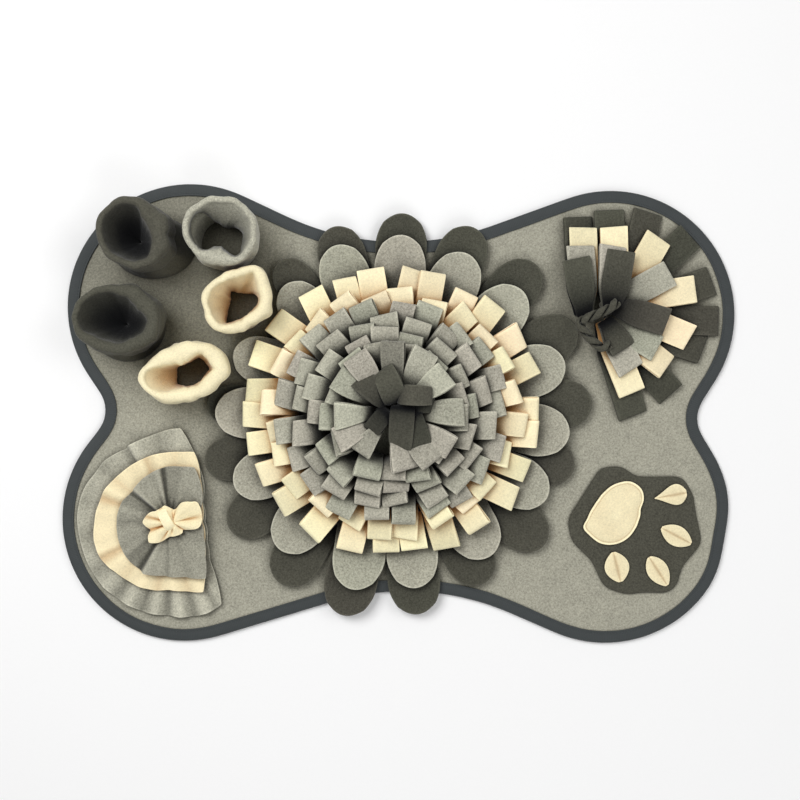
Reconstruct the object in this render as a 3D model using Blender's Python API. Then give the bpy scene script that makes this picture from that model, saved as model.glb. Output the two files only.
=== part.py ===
"""Bone-shaped snuffle mat of fleece: a bound ground panel with a looped rosette, tube pockets, a
gathered fan pocket, a half tuft and a paw patch sewn on it. Metres, +Z up, lying on z = 0.
Origin: middle of the mat's outline, on the surface it lies on. +X runs along the mat's length.
"""

import math
import random
from collections import namedtuple

import bmesh
import bpy
from mathutils import Vector

# --- Cloth and gaps ---------------------------------------------------------------------------
GAP = 0.0003  # between two pieces that touch
FLEECE = 0.0016  # one layer of fleece
LOOP_THICKNESS = 0.0032  # a strip folded in two
LOOP_WIDTH = 0.0250  # every strip is cut this wide

# --- Ground panel and its binding -------------------------------------------------------------
PANEL_THICKNESS = 0.0030
TAPE_THICKNESS = 0.0010
TAPE_WIDTH = 0.0120  # how far the tape reaches in from the mat's edge
PANEL_EASE = 0.0065  # past the tape the panel comes down to the floor over this width
OUTLINE_STEP = math.radians(15)

Circle = namedtuple("Circle", "x y radius turn")  # turn is +1 round a lobe and -1 round a waist
MAT_OUTLINE = (
    Circle(0.2050, 0.0955, 0.1200, 1),
    Circle(0.0020, 0.4230, 0.2570, -1),
    Circle(-0.2010, 0.1030, 0.1190, 1),
    Circle(-0.3125, 0.0030, 0.0295, -1),
    Circle(-0.2065, -0.1015, 0.1185, 1),
    Circle(0.0070, -0.4240, 0.2520, -1),
    Circle(0.1995, -0.1005, 0.1215, 1),
    Circle(0.3175, -0.0050, 0.0290, -1),
)

TAPE_LIFT = TAPE_THICKNESS + GAP  # the panel's edge lies on the tape's lower leaf
PANEL_EDGE_TOP = TAPE_LIFT + PANEL_THICKNESS
TAPE_TOP = PANEL_EDGE_TOP + GAP + TAPE_THICKNESS

# --- Rosette: two flower-shaped layers ---------------------------------------------------------
ROSETTE = Vector((-0.0057, 0.0014, 0.0))
Petal = namedtuple("Petal", "angle reach half_width")  # degrees, metres, metres
DARK_DISC = 0.128  # the petals part outside this radius
DARK_PETALS = (
    Petal(87.0, 0.1915, 0.0250),
    Petal(107.9, 0.1870, 0.0235),
    Petal(126.9, 0.1810, 0.0200),
    Petal(143.5, 0.1460, 0.0150),
    Petal(160.0, 0.1630, 0.0190),
    Petal(177.5, 0.1790, 0.0195),
    Petal(195.9, 0.1870, 0.0225),
    Petal(216.2, 0.1930, 0.0240),
    Petal(236.7, 0.1970, 0.0250),
    Petal(256.3, 0.2010, 0.0255),
    Petal(277.2, 0.1960, 0.0255),
    Petal(297.9, 0.1870, 0.0240),
    Petal(318.5, 0.1940, 0.0240),
    Petal(342.2, 0.1830, 0.0240),
    Petal(2.6, 0.1920, 0.0245),
    Petal(24.7, 0.1950, 0.0245),
    Petal(45.7, 0.1980, 0.0245),
    Petal(66.2, 0.1940, 0.0250),
)
LIGHT_DISC = 0.120
LIGHT_PETALS = (
    Petal(87.0, 0.1700, 0.0250),
    Petal(109.2, 0.1690, 0.0245),
    Petal(130.8, 0.1600, 0.0235),
    Petal(158.6, 0.1630, 0.0235),
    Petal(180.3, 0.1700, 0.0250),
    Petal(205.6, 0.1675, 0.0240),
    Petal(230.4, 0.1705, 0.0255),
    Petal(257.0, 0.1740, 0.0255),
    Petal(277.8, 0.1700, 0.0250),
    Petal(304.3, 0.1670, 0.0260),
    Petal(331.0, 0.1695, 0.0250),
    Petal(352.9, 0.1710, 0.0255),
    Petal(16.3, 0.1720, 0.0255),
    Petal(42.6, 0.1705, 0.0260),
    Petal(64.6, 0.1680, 0.0255),
)
PETAL_STATIONS = (0.34, 0.62, 0.86)  # shares of a petal's length, short of its tip
DARK_RISE = ((0.129, 0.0), (0.150, 0.0028), (0.201, 0.0061))  # radius, height over the panel
LAYER_GAP = 0.0008  # between the two flower-shaped layers
LIGHT_TIP = 0.174
LIGHT_CURL = 0.0050  # how far a light petal's tip stands over a dark one
LIGHT_CUP = 0.0012  # how far its sides stand over its middle

# --- Rosette: rings of loops --------------------------------------------------------------------
HEADING_BASE = PANEL_THICKNESS + FLEECE + LAYER_GAP + FLEECE + 2 * GAP
HEADING_HEIGHT = 0.0050
LOOP_REST = 0.0050  # a ring's tips lie this far over the ring outside it,
LOOP_REST_GAIN = 0.00045  # and this much more for each ring further in
LOOP_DROOP = 0.0024  # from the shoulder down to the tip
# Root and tip are radii. Knee and shoulder are shares of the way between them.
Ring = namedtuple("Ring", "name count root tip knee shoulder colour phase")
RINGS = (
    Ring("loops_cream_outer", 26, 0.104, 0.1410, 0.22, 0.62, "cream", 0.10),
    Ring("loops_cream_inner", 24, 0.092, 0.1210, 0.22, 0.62, "cream", 0.55),
    Ring("loops_grey_outer", 21, 0.080, 0.1075, 0.22, 0.62, "light_grey", 0.05),
    Ring("loops_grey_second", 18, 0.068, 0.0930, 0.22, 0.62, "light_grey", 0.60),
    Ring("loops_grey_third", 16, 0.056, 0.0790, 0.22, 0.62, "light_grey", 0.20),
    Ring("loops_grey_fourth", 13, 0.044, 0.0650, 0.22, 0.62, "light_grey", 0.70),
    Ring("loops_grey_inner", 10, 0.032, 0.0530, 0.22, 0.62, "light_grey", 0.30),
    Ring("loops_dark_centre", 7, 0.008, 0.0430, 0.04, 0.40, "charcoal", 0.15),
)
OUTER_TIP_HEIGHT = 0.0160  # of the outermost ring, which lies over the petals
KNEE_RISE = 0.80  # share of its height that a loop has gained at its knee
LOOP_SPACE = 0.92  # share of its ring's turn that a loop may fill
# How far loops stray from even, growing from root to tip.
STRAY_SIDEWAYS = 0.0018
STRAY_LENGTH = 0.0020
STRAY_HEIGHT = 0.0010
STRAY_YAW = math.radians(5)
STRAY_ROLL = math.radians(2)

# --- Half tuft: fans of strips from one tie ------------------------------------------------------
HALF_TUFT = Vector((0.1947, 0.0922, 0.0))
Strip = namedtuple("Strip", "angle reach")
Fan = namedtuple("Fan", "name colour heading_hole heading_radius base tip_height strips")
FANS = (
    Fan("tuft_dark_outer", "charcoal", 0.0050, 0.0140, 0.0036, 0.0066,
        (Strip(102, 0.0995), Strip(84.7, 0.1030), Strip(66, 0.1070), Strip(42, 0.1100),
         Strip(19, 0.1075), Strip(-1, 0.1080), Strip(-20, 0.1000), Strip(-44, 0.0970),
         Strip(-65, 0.0880))),
    Fan("tuft_cream", "cream", 0.0050, 0.0140, 0.0086, 0.0126,
        (Strip(102, 0.0850), Strip(80, 0.0865), Strip(52, 0.0920), Strip(18, 0.0915),
         Strip(-13, 0.0860), Strip(-38, 0.0790), Strip(-67, 0.0760))),
    Fan("tuft_light", "light_grey", 0.0050, 0.0140, 0.0138, 0.0182,
        (Strip(109, 0.0700), Strip(82, 0.0690), Strip(36, 0.0720), Strip(-31, 0.0600),
         Strip(-62, 0.0560))),
    Fan("tuft_dark_inner", "charcoal", 0.0050, 0.0140, 0.0188, 0.0238,
        (Strip(112, 0.0590), Strip(77, 0.0620), Strip(-12, 0.0610), Strip(-66, 0.0430))),
)
FAN_SHARES = (0.40, 0.75, 1.0)
FAN_SPACE = 0.92  # share of the room to its neighbours that a strip may fill
FAN_HUMP = 0.0030  # how far a strip stands up between its tie and its tip
TIE_DIAMETER = 0.0080
TIE_ROUTE = (
    Vector((0.0105, -0.0330, 0.0312)),
    Vector((-0.0030, -0.0200, 0.0310)),
    Vector((-0.0140, -0.0080, 0.0300)),
    Vector((-0.0060, 0.0040, 0.0310)),
    Vector((0.0080, 0.0090, 0.0315)),
    Vector((0.0200, 0.0150, 0.0295)),
)

# --- Gathered fan pocket ------------------------------------------------------------------------
FAN_POCKET = Vector((-0.2187, -0.1029, 0.0))
Flap = namedtuple("Flap", "name colour radius chord chord_angle level")
FLAPS = (
    Flap("flap_outer", "light_grey", 0.0900, 0.0310, 13.5, 0),
    Flap("flap_cream", "cream", 0.0710, 0.0295, 4.0, 1),
    Flap("flap_inner", "light_grey", 0.0545, 0.0310, 7.0, 2),
)
FLAP_THICKNESS = 0.0018
FLAP_LEVEL = 0.0032  # from one flap to the one over it
FLAP_RIM_HEIGHT = 0.0049
FLAP_CROWN = 0.0060  # how far the gathered middle stands over the rim
FLAP_RUFFLES = 9
FLAP_RUFFLE_HEIGHT = 0.0016
FLAP_ROWS = (0.30, 0.66, 1.0)
BOW = Fan("flap_bow", "cream", 0.0015, 0.0050, 0.0195, 0.0250,
          (Strip(152, 0.0250), Strip(208, 0.0260), Strip(95, 0.0170), Strip(22, 0.0290),
           Strip(-52, 0.0180)))

# --- Tube pockets -------------------------------------------------------------------------------
# Each tube is an oval at its foot and another at its rim, where it also swells or is pushed in.
# Wide and deep are half sizes, to the outside of the wall. Angles are in degrees.
Swell = namedtuple("Swell", "angle depth spread")
Tube = namedtuple("Tube", "name colour x y wide deep turn rim_x rim_y rim_wide rim_deep rim_turn height "
                          "swells")
TUBES = (
    Tube("tube_dark_back", "charcoal", -0.2320, 0.1600, 0.0330, 0.0320, 0,
         -0.2534, 0.1687, 0.0218, 0.0288, 10, 0.0550,
         (Swell(15, -0.0060, 26), Swell(308, 0.0072, 22))),
    Tube("tube_grey", "light_grey", -0.1630, 0.1630, 0.0280, 0.0260, 0,
         -0.1654, 0.1690, 0.0318, 0.0318, 0, 0.0560,
         (Swell(148, 0.0042, 20), Swell(285, 0.0024, 25))),
    Tube("tube_dark_side", "charcoal", -0.2620, 0.0860, 0.0360, 0.0330, 0,
         -0.2605, 0.0896, 0.0402, 0.0315, -13, 0.0500,
         ()),
    Tube("tube_cream_back", "cream", -0.1540, 0.1070, 0.0280, 0.0280, 40,
         -0.1490, 0.1065, 0.0324, 0.0258, 40, 0.0520,
         (Swell(165, 0.0028, 22), Swell(335, 0.0026, 18))),
    Tube("tube_cream_front", "cream", -0.2070, 0.0400, 0.0370, 0.0270, 20,
         -0.1983, 0.0393, 0.0412, 0.0257, 17, 0.0480,
         (Swell(330, -0.0030, 20),)),
)
TUBE_WALL = 0.0045
TUBE_RIM_BULGE = 0.0018  # the folded rim stands out this far on both sides of the wall
TUBE_SIDES = 20
TUBE_LEVELS = (0.0, 0.42, 0.80)
# Share of the height, and how much of the wall and bulge the rim keeps on each side there.
TUBE_RIM_ROUND = ((0.93, 1.0), (0.985, 0.75))

# --- Paw patch ----------------------------------------------------------------------------------
PATCH_THICKNESS = 0.0026
PATCH_OUTLINE = (
    Circle(0.2016, -0.0630, 0.0115, 1),
    Circle(0.1786, -0.1055, 0.0148, 1),
    Circle(0.1804, -0.1156, 0.0148, 1),
    Circle(0.1693, -0.1543, 0.0207, -1),
    Circle(0.2099, -0.1543, 0.0164, 1),
    Circle(0.2219, -0.1580, 0.0164, 1),
    Circle(0.2366, -0.1884, 0.0159, -1),
    Circle(0.2546, -0.1573, 0.0157, 1),
    Circle(0.2837, -0.1534, 0.0115, -1),
    Circle(0.2781, -0.1211, 0.0138, 1),
    Circle(0.3049, -0.0916, 0.0189, -1),
    Circle(0.2726, -0.0833, 0.0124, 1),
    Circle(0.2675, -0.0723, 0.0115, 1),
    Circle(0.2329, -0.0483, 0.0127, -1),
    Circle(0.2117, -0.0630, 0.0120, 1),
)
PATCH_STEP = math.radians(30)
PAD_OUTLINE = (
    Circle(0.2226, -0.0761, 0.0120, 1),
    Circle(0.2088, -0.0904, 0.0203, 1),
    Circle(0.1840, -0.1101, 0.0083, 1),
    Circle(0.2065, -0.1032, 0.0226, 1),
)
PAD_THICKNESS = 0.0018
PAD_CROWN = 0.0016
Toe = namedtuple("Toe", "name x y length width turn widest")
TOES = (
    Toe("paw_toe_first", 0.2620, -0.0789, 0.0315, 0.0195, 10, 0.68),
    Toe("paw_toe_second", 0.2675, -0.1177, 0.0330, 0.0192, -28, 0.50),
    Toe("paw_toe_third", 0.2500, -0.1519, 0.0330, 0.0198, -57, 0.47),
    Toe("paw_toe_fourth", 0.2103, -0.1478, 0.0300, 0.0230, -76, 0.50),
)
TOE_STATIONS = (0.08, 0.27, 0.50, 0.73, 0.92)  # shares of the length
TOE_FULLNESS = 0.72
TOE_CROWN = 0.0016

COLOURS = {
    "ground_grey": ((0.33, 0.33, 0.29), 0.95),
    "binding_slate": ((0.055, 0.065, 0.068), 0.80),
    "light_grey": ((0.37, 0.36, 0.31), 0.95),
    "charcoal": ((0.075, 0.077, 0.066), 0.95),
    "cream": ((0.90, 0.83, 0.62), 0.95),
}


# --- Building blocks ----------------------------------------------------------------------------
def clear_scene():
    for obj in list(bpy.data.objects):
        bpy.data.objects.remove(obj)


def fleece_material(name):
    colour, roughness = COLOURS[name]
    material = bpy.data.materials.get(name) or bpy.data.materials.new(name)
    material.use_nodes = True
    shader = material.node_tree.nodes["Principled BSDF"]
    shader.inputs["Base Color"].default_value = (*colour, 1)
    shader.inputs["Roughness"].default_value = roughness
    shader.inputs["Metallic"].default_value = 0
    return material


def add_object(name, data, colour, parent, place=(0, 0, 0)):
    obj = bpy.data.objects.new(name, data)
    bpy.context.scene.collection.objects.link(obj)
    obj.parent = parent
    obj.location = place
    data.materials.append(fleece_material(colour))
    return obj


def mesh_object(name, bm, colour, parent, place=(0, 0, 0)):
    bmesh.ops.recalc_face_normals(bm, faces=bm.faces)
    mesh = bpy.data.meshes.new(name)
    bm.to_mesh(mesh)
    bm.free()
    return add_object(name, mesh, colour, parent, place)


def add_thickness(obj, thickness):
    """Turns a sheet whose normals point up into cloth that stands on the sheet."""
    modifier = obj.modifiers.new("cloth", "SOLIDIFY")
    modifier.thickness = thickness
    modifier.offset = 1


def belt(circles, step):
    """Points and outward normals of the closed outline that runs round each circle in turn and
    straight from one to the next, counter-clockwise."""
    headings = []
    for here, after in zip(circles, circles[1:] + circles[:1]):
        across = Vector((after.x - here.x, after.y - here.y))
        tilt = (after.turn * after.radius - here.turn * here.radius) / across.length
        headings.append(math.atan2(across.y, across.x) - math.asin(tilt))
    outline = []
    for i, circle in enumerate(circles):
        swept = (headings[i] - headings[i - 1]) * circle.turn % math.tau
        steps = max(2, round(swept / step))
        for k in range(steps + 1):
            heading = headings[i - 1] + circle.turn * swept * k / steps
            outward = Vector((math.sin(heading), -math.cos(heading)))
            centre = Vector((circle.x, circle.y))
            outline.append((centre + outward * circle.radius * circle.turn, outward))
    return outline


def offset_loop(outline, inset, height):
    """The outline moved in by inset, at one height."""
    return [Vector((*(point - outward * inset), height)) for point, outward in outline]


def loft(loops, closed):
    """Skins a list of equal closed loops. Closed joins the last to the first, as round a tube's
    wall, and otherwise both ends are capped."""
    bm = bmesh.new()
    rows = [[bm.verts.new(point) for point in loop] for loop in loops]
    pairs = zip(rows, rows[1:] + rows[:1]) if closed else zip(rows, rows[1:])
    count = len(rows[0])
    for low, high in pairs:
        for i in range(count):
            j = (i + 1) % count
            bm.faces.new((low[i], low[j], high[j], high[i]))
    if not closed:
        bm.faces.new(rows[0][::-1])
        bm.faces.new(rows[-1])
    return bm


def interpolate(table, x):
    """Straight-line reading of a table of (x, y) rows, held level past both ends."""
    if x <= table[0][0]:
        return table[0][1]
    for (x0, y0), (x1, y1) in zip(table, table[1:]):
        if x <= x1:
            return y0 + (y1 - y0) * (x - x0) / (x1 - x0)
    return table[-1][1]


# --- Ground panel and binding -------------------------------------------------------------------
def build_panel(parent):
    outline = belt(MAT_OUTLINE, OUTLINE_STEP)
    edge = TAPE_THICKNESS + GAP
    ease = TAPE_WIDTH + PANEL_EASE
    loops = [
        offset_loop(outline, ease, 0),
        offset_loop(outline, TAPE_WIDTH, TAPE_LIFT),
        offset_loop(outline, edge, TAPE_LIFT),
        offset_loop(outline, edge, PANEL_EDGE_TOP),
        offset_loop(outline, TAPE_WIDTH, PANEL_EDGE_TOP),
        offset_loop(outline, ease, PANEL_THICKNESS),
    ]
    mesh_object("mat_panel", loft(loops, closed=False), "ground_grey", parent)


def build_binding(parent):
    """One tape folded round the panel's edge: an upper leaf, a web and a lower leaf."""
    outline = belt(MAT_OUTLINE, OUTLINE_STEP)
    section = (
        (TAPE_WIDTH, 0),
        (0, 0),
        (0, TAPE_TOP),
        (TAPE_WIDTH, TAPE_TOP),
        (TAPE_WIDTH, TAPE_TOP - TAPE_THICKNESS),
        (TAPE_THICKNESS, TAPE_TOP - TAPE_THICKNESS),
        (TAPE_THICKNESS, TAPE_THICKNESS),
        (TAPE_WIDTH, TAPE_THICKNESS),
    )
    loops = [offset_loop(outline, inset, height) for inset, height in section]
    mesh_object("edge_binding", loft(loops, closed=True), "binding_slate", parent)


# --- Rosette petals -----------------------------------------------------------------------------
def dark_height(radius, side):
    """Underside of the dark layer. It lies on the panel and clears the binding outside it."""
    return PANEL_THICKNESS + GAP + interpolate(DARK_RISE, radius)


def light_height(radius, side):
    """Underside of the light layer: over the dark one, with curled tips and cupped sides."""
    curl = max(0.0, (radius - LIGHT_DISC) / (LIGHT_TIP - LIGHT_DISC))
    over = FLEECE + LAYER_GAP + LIGHT_CURL * curl**2 + LIGHT_CUP * curl * side**2
    return dark_height(radius, side) + over


def build_flower(name, petals, disc, height, colour, parent):
    """A disc of fleece whose rim is cut into petals with round ends."""
    bm = bmesh.new()
    petals = sorted(petals, key=lambda petal: petal.angle % 360)
    angles = [math.radians(petal.angle % 360) for petal in petals]
    count = len(petals)
    spaces = [(angles[(i + 1) % count] - angles[i]) % math.tau for i in range(count)]

    def place(radius, angle, across, side):
        along = Vector((math.cos(angle), math.sin(angle), 0))
        left = Vector((-along.y, along.x, 0))
        point = along * radius + left * across
        return bm.verts.new((point.x, point.y, height(point.length, side)))

    notches = [place(disc, angles[i] + spaces[i] / 2, 0, 0) for i in range(count)]
    rim = []
    for i, petal in enumerate(petals):
        right, left = notches[i - 1], notches[i]
        middle = place(disc, angles[i], 0, 0)
        rim += [right, middle]
        length = petal.reach - disc
        straight = 1 - petal.half_width / length  # the rest is the round end
        row = (right, middle, left)
        for share in PETAL_STATIONS:
            radius = disc + share * length
            bend = max(0.0, (share - straight) / (1 - straight))
            half = petal.half_width * math.sqrt(1 - bend**2)
            room_right = radius * math.tan(spaces[i - 1] / 2) - LAYER_GAP
            room_left = radius * math.tan(spaces[i] / 2) - LAYER_GAP
            station = (
                place(radius, angles[i], -min(half, room_right), 1),
                place(radius, angles[i], 0, 0),
                place(radius, angles[i], min(half, room_left), 1),
            )
            for k in (0, 1):
                bm.faces.new((row[k], station[k], station[k + 1], row[k + 1]))
            row = station
        tip = place(petal.reach, angles[i], 0, 0)
        for k in (0, 1):
            bm.faces.new((row[k], tip, row[k + 1]))
    bm.faces.new(rim)
    obj = mesh_object(name, bm, colour, parent, ROSETTE)
    if obj.data.polygons[-1].normal.z < 0:
        obj.data.flip_normals()
    add_thickness(obj, FLEECE)


# --- Strips and loops ---------------------------------------------------------------------------
def cross_section(bm, azimuth, radius, height, pitch, half_width, thickness, slide=0, yaw=0,
                  roll=0):
    """Four corners of a strip where its middle is at radius and height and it climbs by pitch:
    lower right, lower left, upper left, upper right."""
    outward = Vector((math.cos(azimuth), math.sin(azimuth), 0))
    left = Vector((-outward.y, outward.x, 0))
    up = Vector((0, 0, 1))
    along = outward * math.cos(pitch) + up * math.sin(pitch)
    normal = up * math.cos(pitch) - outward * math.sin(pitch)
    side = left * math.cos(roll) + normal * math.sin(roll)
    face = normal * math.cos(roll) - left * math.sin(roll)
    side = (side - along * math.sin(yaw)).normalized()
    centre = outward * radius + up * height + left * slide
    corners = ((-1, -1), (1, -1), (1, 1), (-1, 1))
    return [
        bm.verts.new(centre + side * half_width * across + face * thickness / 2 * over)
        for across, over in corners
    ]


def skin_strip(bm, root, stations):
    """Joins the root's corners to each station's in turn and closes the strip's tip."""
    row = root
    for station in stations:
        for i in range(4):
            j = (i + 1) % 4
            bm.faces.new((row[i], row[j], station[j], station[i]))
        row = station
    bm.faces.new(row)


def ring_profiles():
    """For each ring, the radius and height of a loop's root, knee, shoulder and tip. The tips of
    each ring lie on the ring outside it."""
    profiles = []
    root_height = HEADING_BASE + HEADING_HEIGHT
    tip_height = OUTER_TIP_HEIGHT
    for i, ring in enumerate(RINGS):
        if profiles:
            rest = LOOP_REST + LOOP_REST_GAIN * i
            tip_height = interpolate(profiles[-1], ring.tip) + rest
        shoulder_height = tip_height + LOOP_DROOP
        knee_height = root_height + KNEE_RISE * (shoulder_height - root_height)
        heights = (knee_height, shoulder_height, tip_height)
        profile = [(ring.root, root_height)]
        for share, height in zip((ring.knee, ring.shoulder, 1.0), heights):
            profile.append((ring.root + share * (ring.tip - ring.root), height))
        profiles.append(profile)
    return profiles


def build_ring(ring, profile, seed, parent):
    """A band of fleece sewn down on edge in a circle, its upper half slit into folded loops that
    rise, bend outwards and lie on the ring outside them."""
    bm = bmesh.new()
    chance = random.Random(seed)
    half = LOOP_THICKNESS / 2
    top = HEADING_BASE + HEADING_HEIGHT
    pitch_angle = math.tau / ring.count
    posts = []
    for i in range(ring.count):
        angle = (i + ring.phase - 0.5) * pitch_angle
        outward = Vector((math.cos(angle), math.sin(angle), 0))
        inner, outer = outward * (ring.root - half), outward * (ring.root + half)
        low, high = Vector((0, 0, HEADING_BASE)), Vector((0, 0, top))
        posts.append([bm.verts.new(p) for p in (inner + low, outer + low, outer + high, inner + high)])
    for i in range(ring.count):
        here, after = posts[i], posts[(i + 1) % ring.count]
        for k in (0, 1, 3):
            corners = (here[k], after[k], after[(k + 1) % 4], here[(k + 1) % 4])
            bm.faces.new(corners)
        azimuth = (i + ring.phase) * pitch_angle
        slide = chance.uniform(-1, 1) * STRAY_SIDEWAYS
        yaw = chance.uniform(-1, 1) * STRAY_YAW
        roll = chance.uniform(-1, 1) * STRAY_ROLL
        longer = chance.uniform(-1, 1) * STRAY_LENGTH
        higher = chance.uniform(-0.3, 1) * STRAY_HEIGHT
        root = [here[2], after[2], after[3], here[3]]
        stations = []
        for k in (1, 2, 3):
            radius, height = profile[k]
            before, beyond = profile[k - 1], profile[min(k + 1, 3)]
            pitch = math.atan2(beyond[1] - before[1], beyond[0] - before[0])
            grown = k / 3
            room = LOOP_SPACE * math.pi * radius / ring.count
            stations.append(cross_section(
                bm, azimuth, radius + longer * grown, height + higher * grown, pitch,
                min(LOOP_WIDTH / 2, room), LOOP_THICKNESS, slide * grown, yaw * grown,
                roll * grown))
        skin_strip(bm, root, stations)
    mesh_object(ring.name, bm, ring.colour, parent, ROSETTE)


def build_fan(fan, parent, place):
    """Strips gathered to a narrow curved heading and spread from it."""
    bm = bmesh.new()
    thickness = LOOP_THICKNESS
    strips = sorted(fan.strips, key=lambda strip: strip.angle)
    angles = [math.radians(strip.angle) for strip in strips]
    edges = [(a + b) / 2 for a, b in zip(angles, angles[1:])]
    edges = [2 * angles[0] - edges[0]] + edges + [2 * angles[-1] - edges[-1]]
    posts = []
    for angle in edges:
        outward = Vector((math.cos(angle), math.sin(angle), 0))
        low, high = Vector((0, 0, fan.base)), Vector((0, 0, fan.base + thickness))
        inner, outer = outward * fan.heading_hole, outward * fan.heading_radius
        posts.append([bm.verts.new(p) for p in (inner + low, outer + low, outer + high, inner + high)])
    bm.faces.new(posts[0])
    bm.faces.new(posts[-1])
    for i, strip in enumerate(strips):
        here, after = posts[i], posts[i + 1]
        for k in (0, 2, 3):
            bm.faces.new((here[k], after[k], after[(k + 1) % 4], here[(k + 1) % 4]))
        root = [here[1], after[1], after[2], here[2]]
        space = min(angles[i] - edges[i], edges[i + 1] - angles[i])
        reach = strip.reach - fan.heading_radius
        middle = fan.base + thickness / 2
        stations = []
        for share in FAN_SHARES:
            radius = fan.heading_radius + share * reach
            hump = 4 * share * (1 - share) * FAN_HUMP
            climb = 4 * (1 - 2 * share) * FAN_HUMP + fan.tip_height - middle
            height = middle + share * (fan.tip_height - middle) + hump
            room = FAN_SPACE * radius * math.tan(space)
            stations.append(cross_section(
                bm, angles[i], radius, height, math.atan2(climb, reach),
                min(LOOP_WIDTH / 2, room), thickness))
        skin_strip(bm, root, stations)
    mesh_object(fan.name, bm, fan.colour, parent, place)


def smooth_route(points, parts):
    """Catmull-Rom curve through the points."""
    route = []
    for i in range(len(points) - 1):
        before = points[max(i - 1, 0)]
        start, end = points[i], points[i + 1]
        after = points[min(i + 2, len(points) - 1)]
        for k in range(parts):
            t = k / parts
            route.append(0.5 * (2 * start + (end - before) * t
                                + (2 * before - 5 * start + 4 * end - after) * t**2
                                + (3 * start - before - 3 * end + after) * t**3))
    return route + [points[-1]]


def build_tie(parent):
    """The twisted strip that ties the half tuft down."""
    curve = bpy.data.curves.new("tuft_tie", "CURVE")
    curve.dimensions = "3D"
    curve.bevel_depth = TIE_DIAMETER / 2
    curve.bevel_resolution = 1
    curve.use_fill_caps = True
    route = smooth_route(TIE_ROUTE, 3)
    spline = curve.splines.new("POLY")
    spline.points.add(len(route) - 1)
    for point, where in zip(spline.points, route):
        point.co = (*where, 1)
    add_object("tuft_tie", curve, "charcoal", parent, HALF_TUFT)


# --- Gathered fan pocket ------------------------------------------------------------------------
def flap_height(x, y, level):
    """Underside of a flap over a point round the gather: high in the middle, ruffled outside."""
    radius = math.hypot(x, y)
    share = min(1.0, radius / FLAPS[0].radius)
    crown = FLAP_CROWN * (1 - share) ** 1.5
    ruffle = 0.5 + 0.5 * math.sin(FLAP_RUFFLES * math.atan2(y, x))
    return FLAP_RIM_HEIGHT + crown + FLAP_RUFFLE_HEIGHT * ruffle * share**2 + level * FLAP_LEVEL


def build_flap(flap, parent):
    """A round of fleece cut off along a chord and gathered near it."""
    normal = math.radians(flap.chord_angle)
    corner = math.acos(flap.chord / flap.radius)
    chord_steps, arc_steps = 4, 22
    rim = []
    for i in range(chord_steps):
        turn = -corner + 2 * corner * i / chord_steps
        rim.append((normal + turn, flap.chord / math.cos(turn)))
    for i in range(arc_steps):
        turn = corner + (math.tau - 2 * corner) * i / arc_steps
        rim.append((normal + turn, flap.radius))
    bm = bmesh.new()

    def place(angle, radius):
        x, y = radius * math.cos(angle), radius * math.sin(angle)
        return bm.verts.new((x, y, flap_height(x, y, flap.level)))

    middle = place(0, 0)
    rows = [[place(angle, radius * share) for angle, radius in rim] for share in FLAP_ROWS]
    for i in range(len(rim)):
        j = (i + 1) % len(rim)
        bm.faces.new((middle, rows[0][i], rows[0][j]))
        for low, high in zip(rows, rows[1:]):
            bm.faces.new((low[i], high[i], high[j], low[j]))
    obj = mesh_object(flap.name, bm, flap.colour, parent, FAN_POCKET)
    if obj.data.polygons[0].normal.z < 0:
        obj.data.flip_normals()
    add_thickness(obj, FLAP_THICKNESS)


# --- Tube pockets -------------------------------------------------------------------------------
def oval_radius(wide, deep, angle):
    return wide * deep / math.hypot(deep * math.cos(angle), wide * math.sin(angle))


def tube_loop(tube, share, outset):
    """One level of a tube's wall, moved out by outset from the wall's middle."""
    wide = tube.wide + (tube.rim_wide - tube.wide) * share
    deep = tube.deep + (tube.rim_deep - tube.deep) * share
    turn = math.radians(tube.turn + (tube.rim_turn - tube.turn) * share)
    x = tube.x + (tube.rim_x - tube.x) * share
    y = tube.y + (tube.rim_y - tube.y) * share
    height = PANEL_THICKNESS + GAP + share * tube.height
    loop = []
    for i in range(TUBE_SIDES):
        angle = math.tau * i / TUBE_SIDES
        radius = oval_radius(wide, deep, angle - turn) - TUBE_WALL / 2 + outset
        for swell in tube.swells:
            apart = (math.degrees(angle) - swell.angle + 180) % 360 - 180
            radius += swell.depth * share**2 * math.exp(-((apart / swell.spread) ** 2))
        loop.append(Vector((x + radius * math.cos(angle), y + radius * math.sin(angle), height)))
    return loop


def build_tube(tube, parent):
    """A fleece tube folded over at its rim and sewn down at its foot, open above and below."""
    half = TUBE_WALL / 2
    outer = [(share, half) for share in TUBE_LEVELS]
    outer += [(share, (half + TUBE_RIM_BULGE) * kept) for share, kept in TUBE_RIM_ROUND]
    inner = [(share, -outset) for share, outset in reversed(outer)]
    loops = [tube_loop(tube, share, outset) for share, outset in outer + [(1.0, 0)] + inner]
    obj = mesh_object(tube.name, loft(loops, closed=True), tube.colour, parent)
    obj.data.shade_smooth()


# --- Paw patch ----------------------------------------------------------------------------------
def build_patch(parent):
    outline = belt(PATCH_OUTLINE, PATCH_STEP)
    base = PANEL_THICKNESS + GAP
    soft = PATCH_THICKNESS / 2
    loops = [
        offset_loop(outline, 0, base),
        offset_loop(outline, 0, base + soft),
        offset_loop(outline, soft, base + PATCH_THICKNESS),
    ]
    mesh_object("paw_patch", loft(loops, closed=False), "charcoal", parent)


def build_pad(parent):
    """The cream sole: sewn round its edge and a little full in the middle."""
    outline = belt(PAD_OUTLINE, PATCH_STEP)
    base = PANEL_THICKNESS + GAP + PATCH_THICKNESS + GAP
    loops = [
        offset_loop(outline, 0, base),
        offset_loop(outline, 0, base + PAD_THICKNESS),
        offset_loop(outline, 0.0060, base + PAD_THICKNESS + PAD_CROWN),
    ]
    mesh_object("paw_pad", loft(loops, closed=False), "cream", parent)


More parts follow.
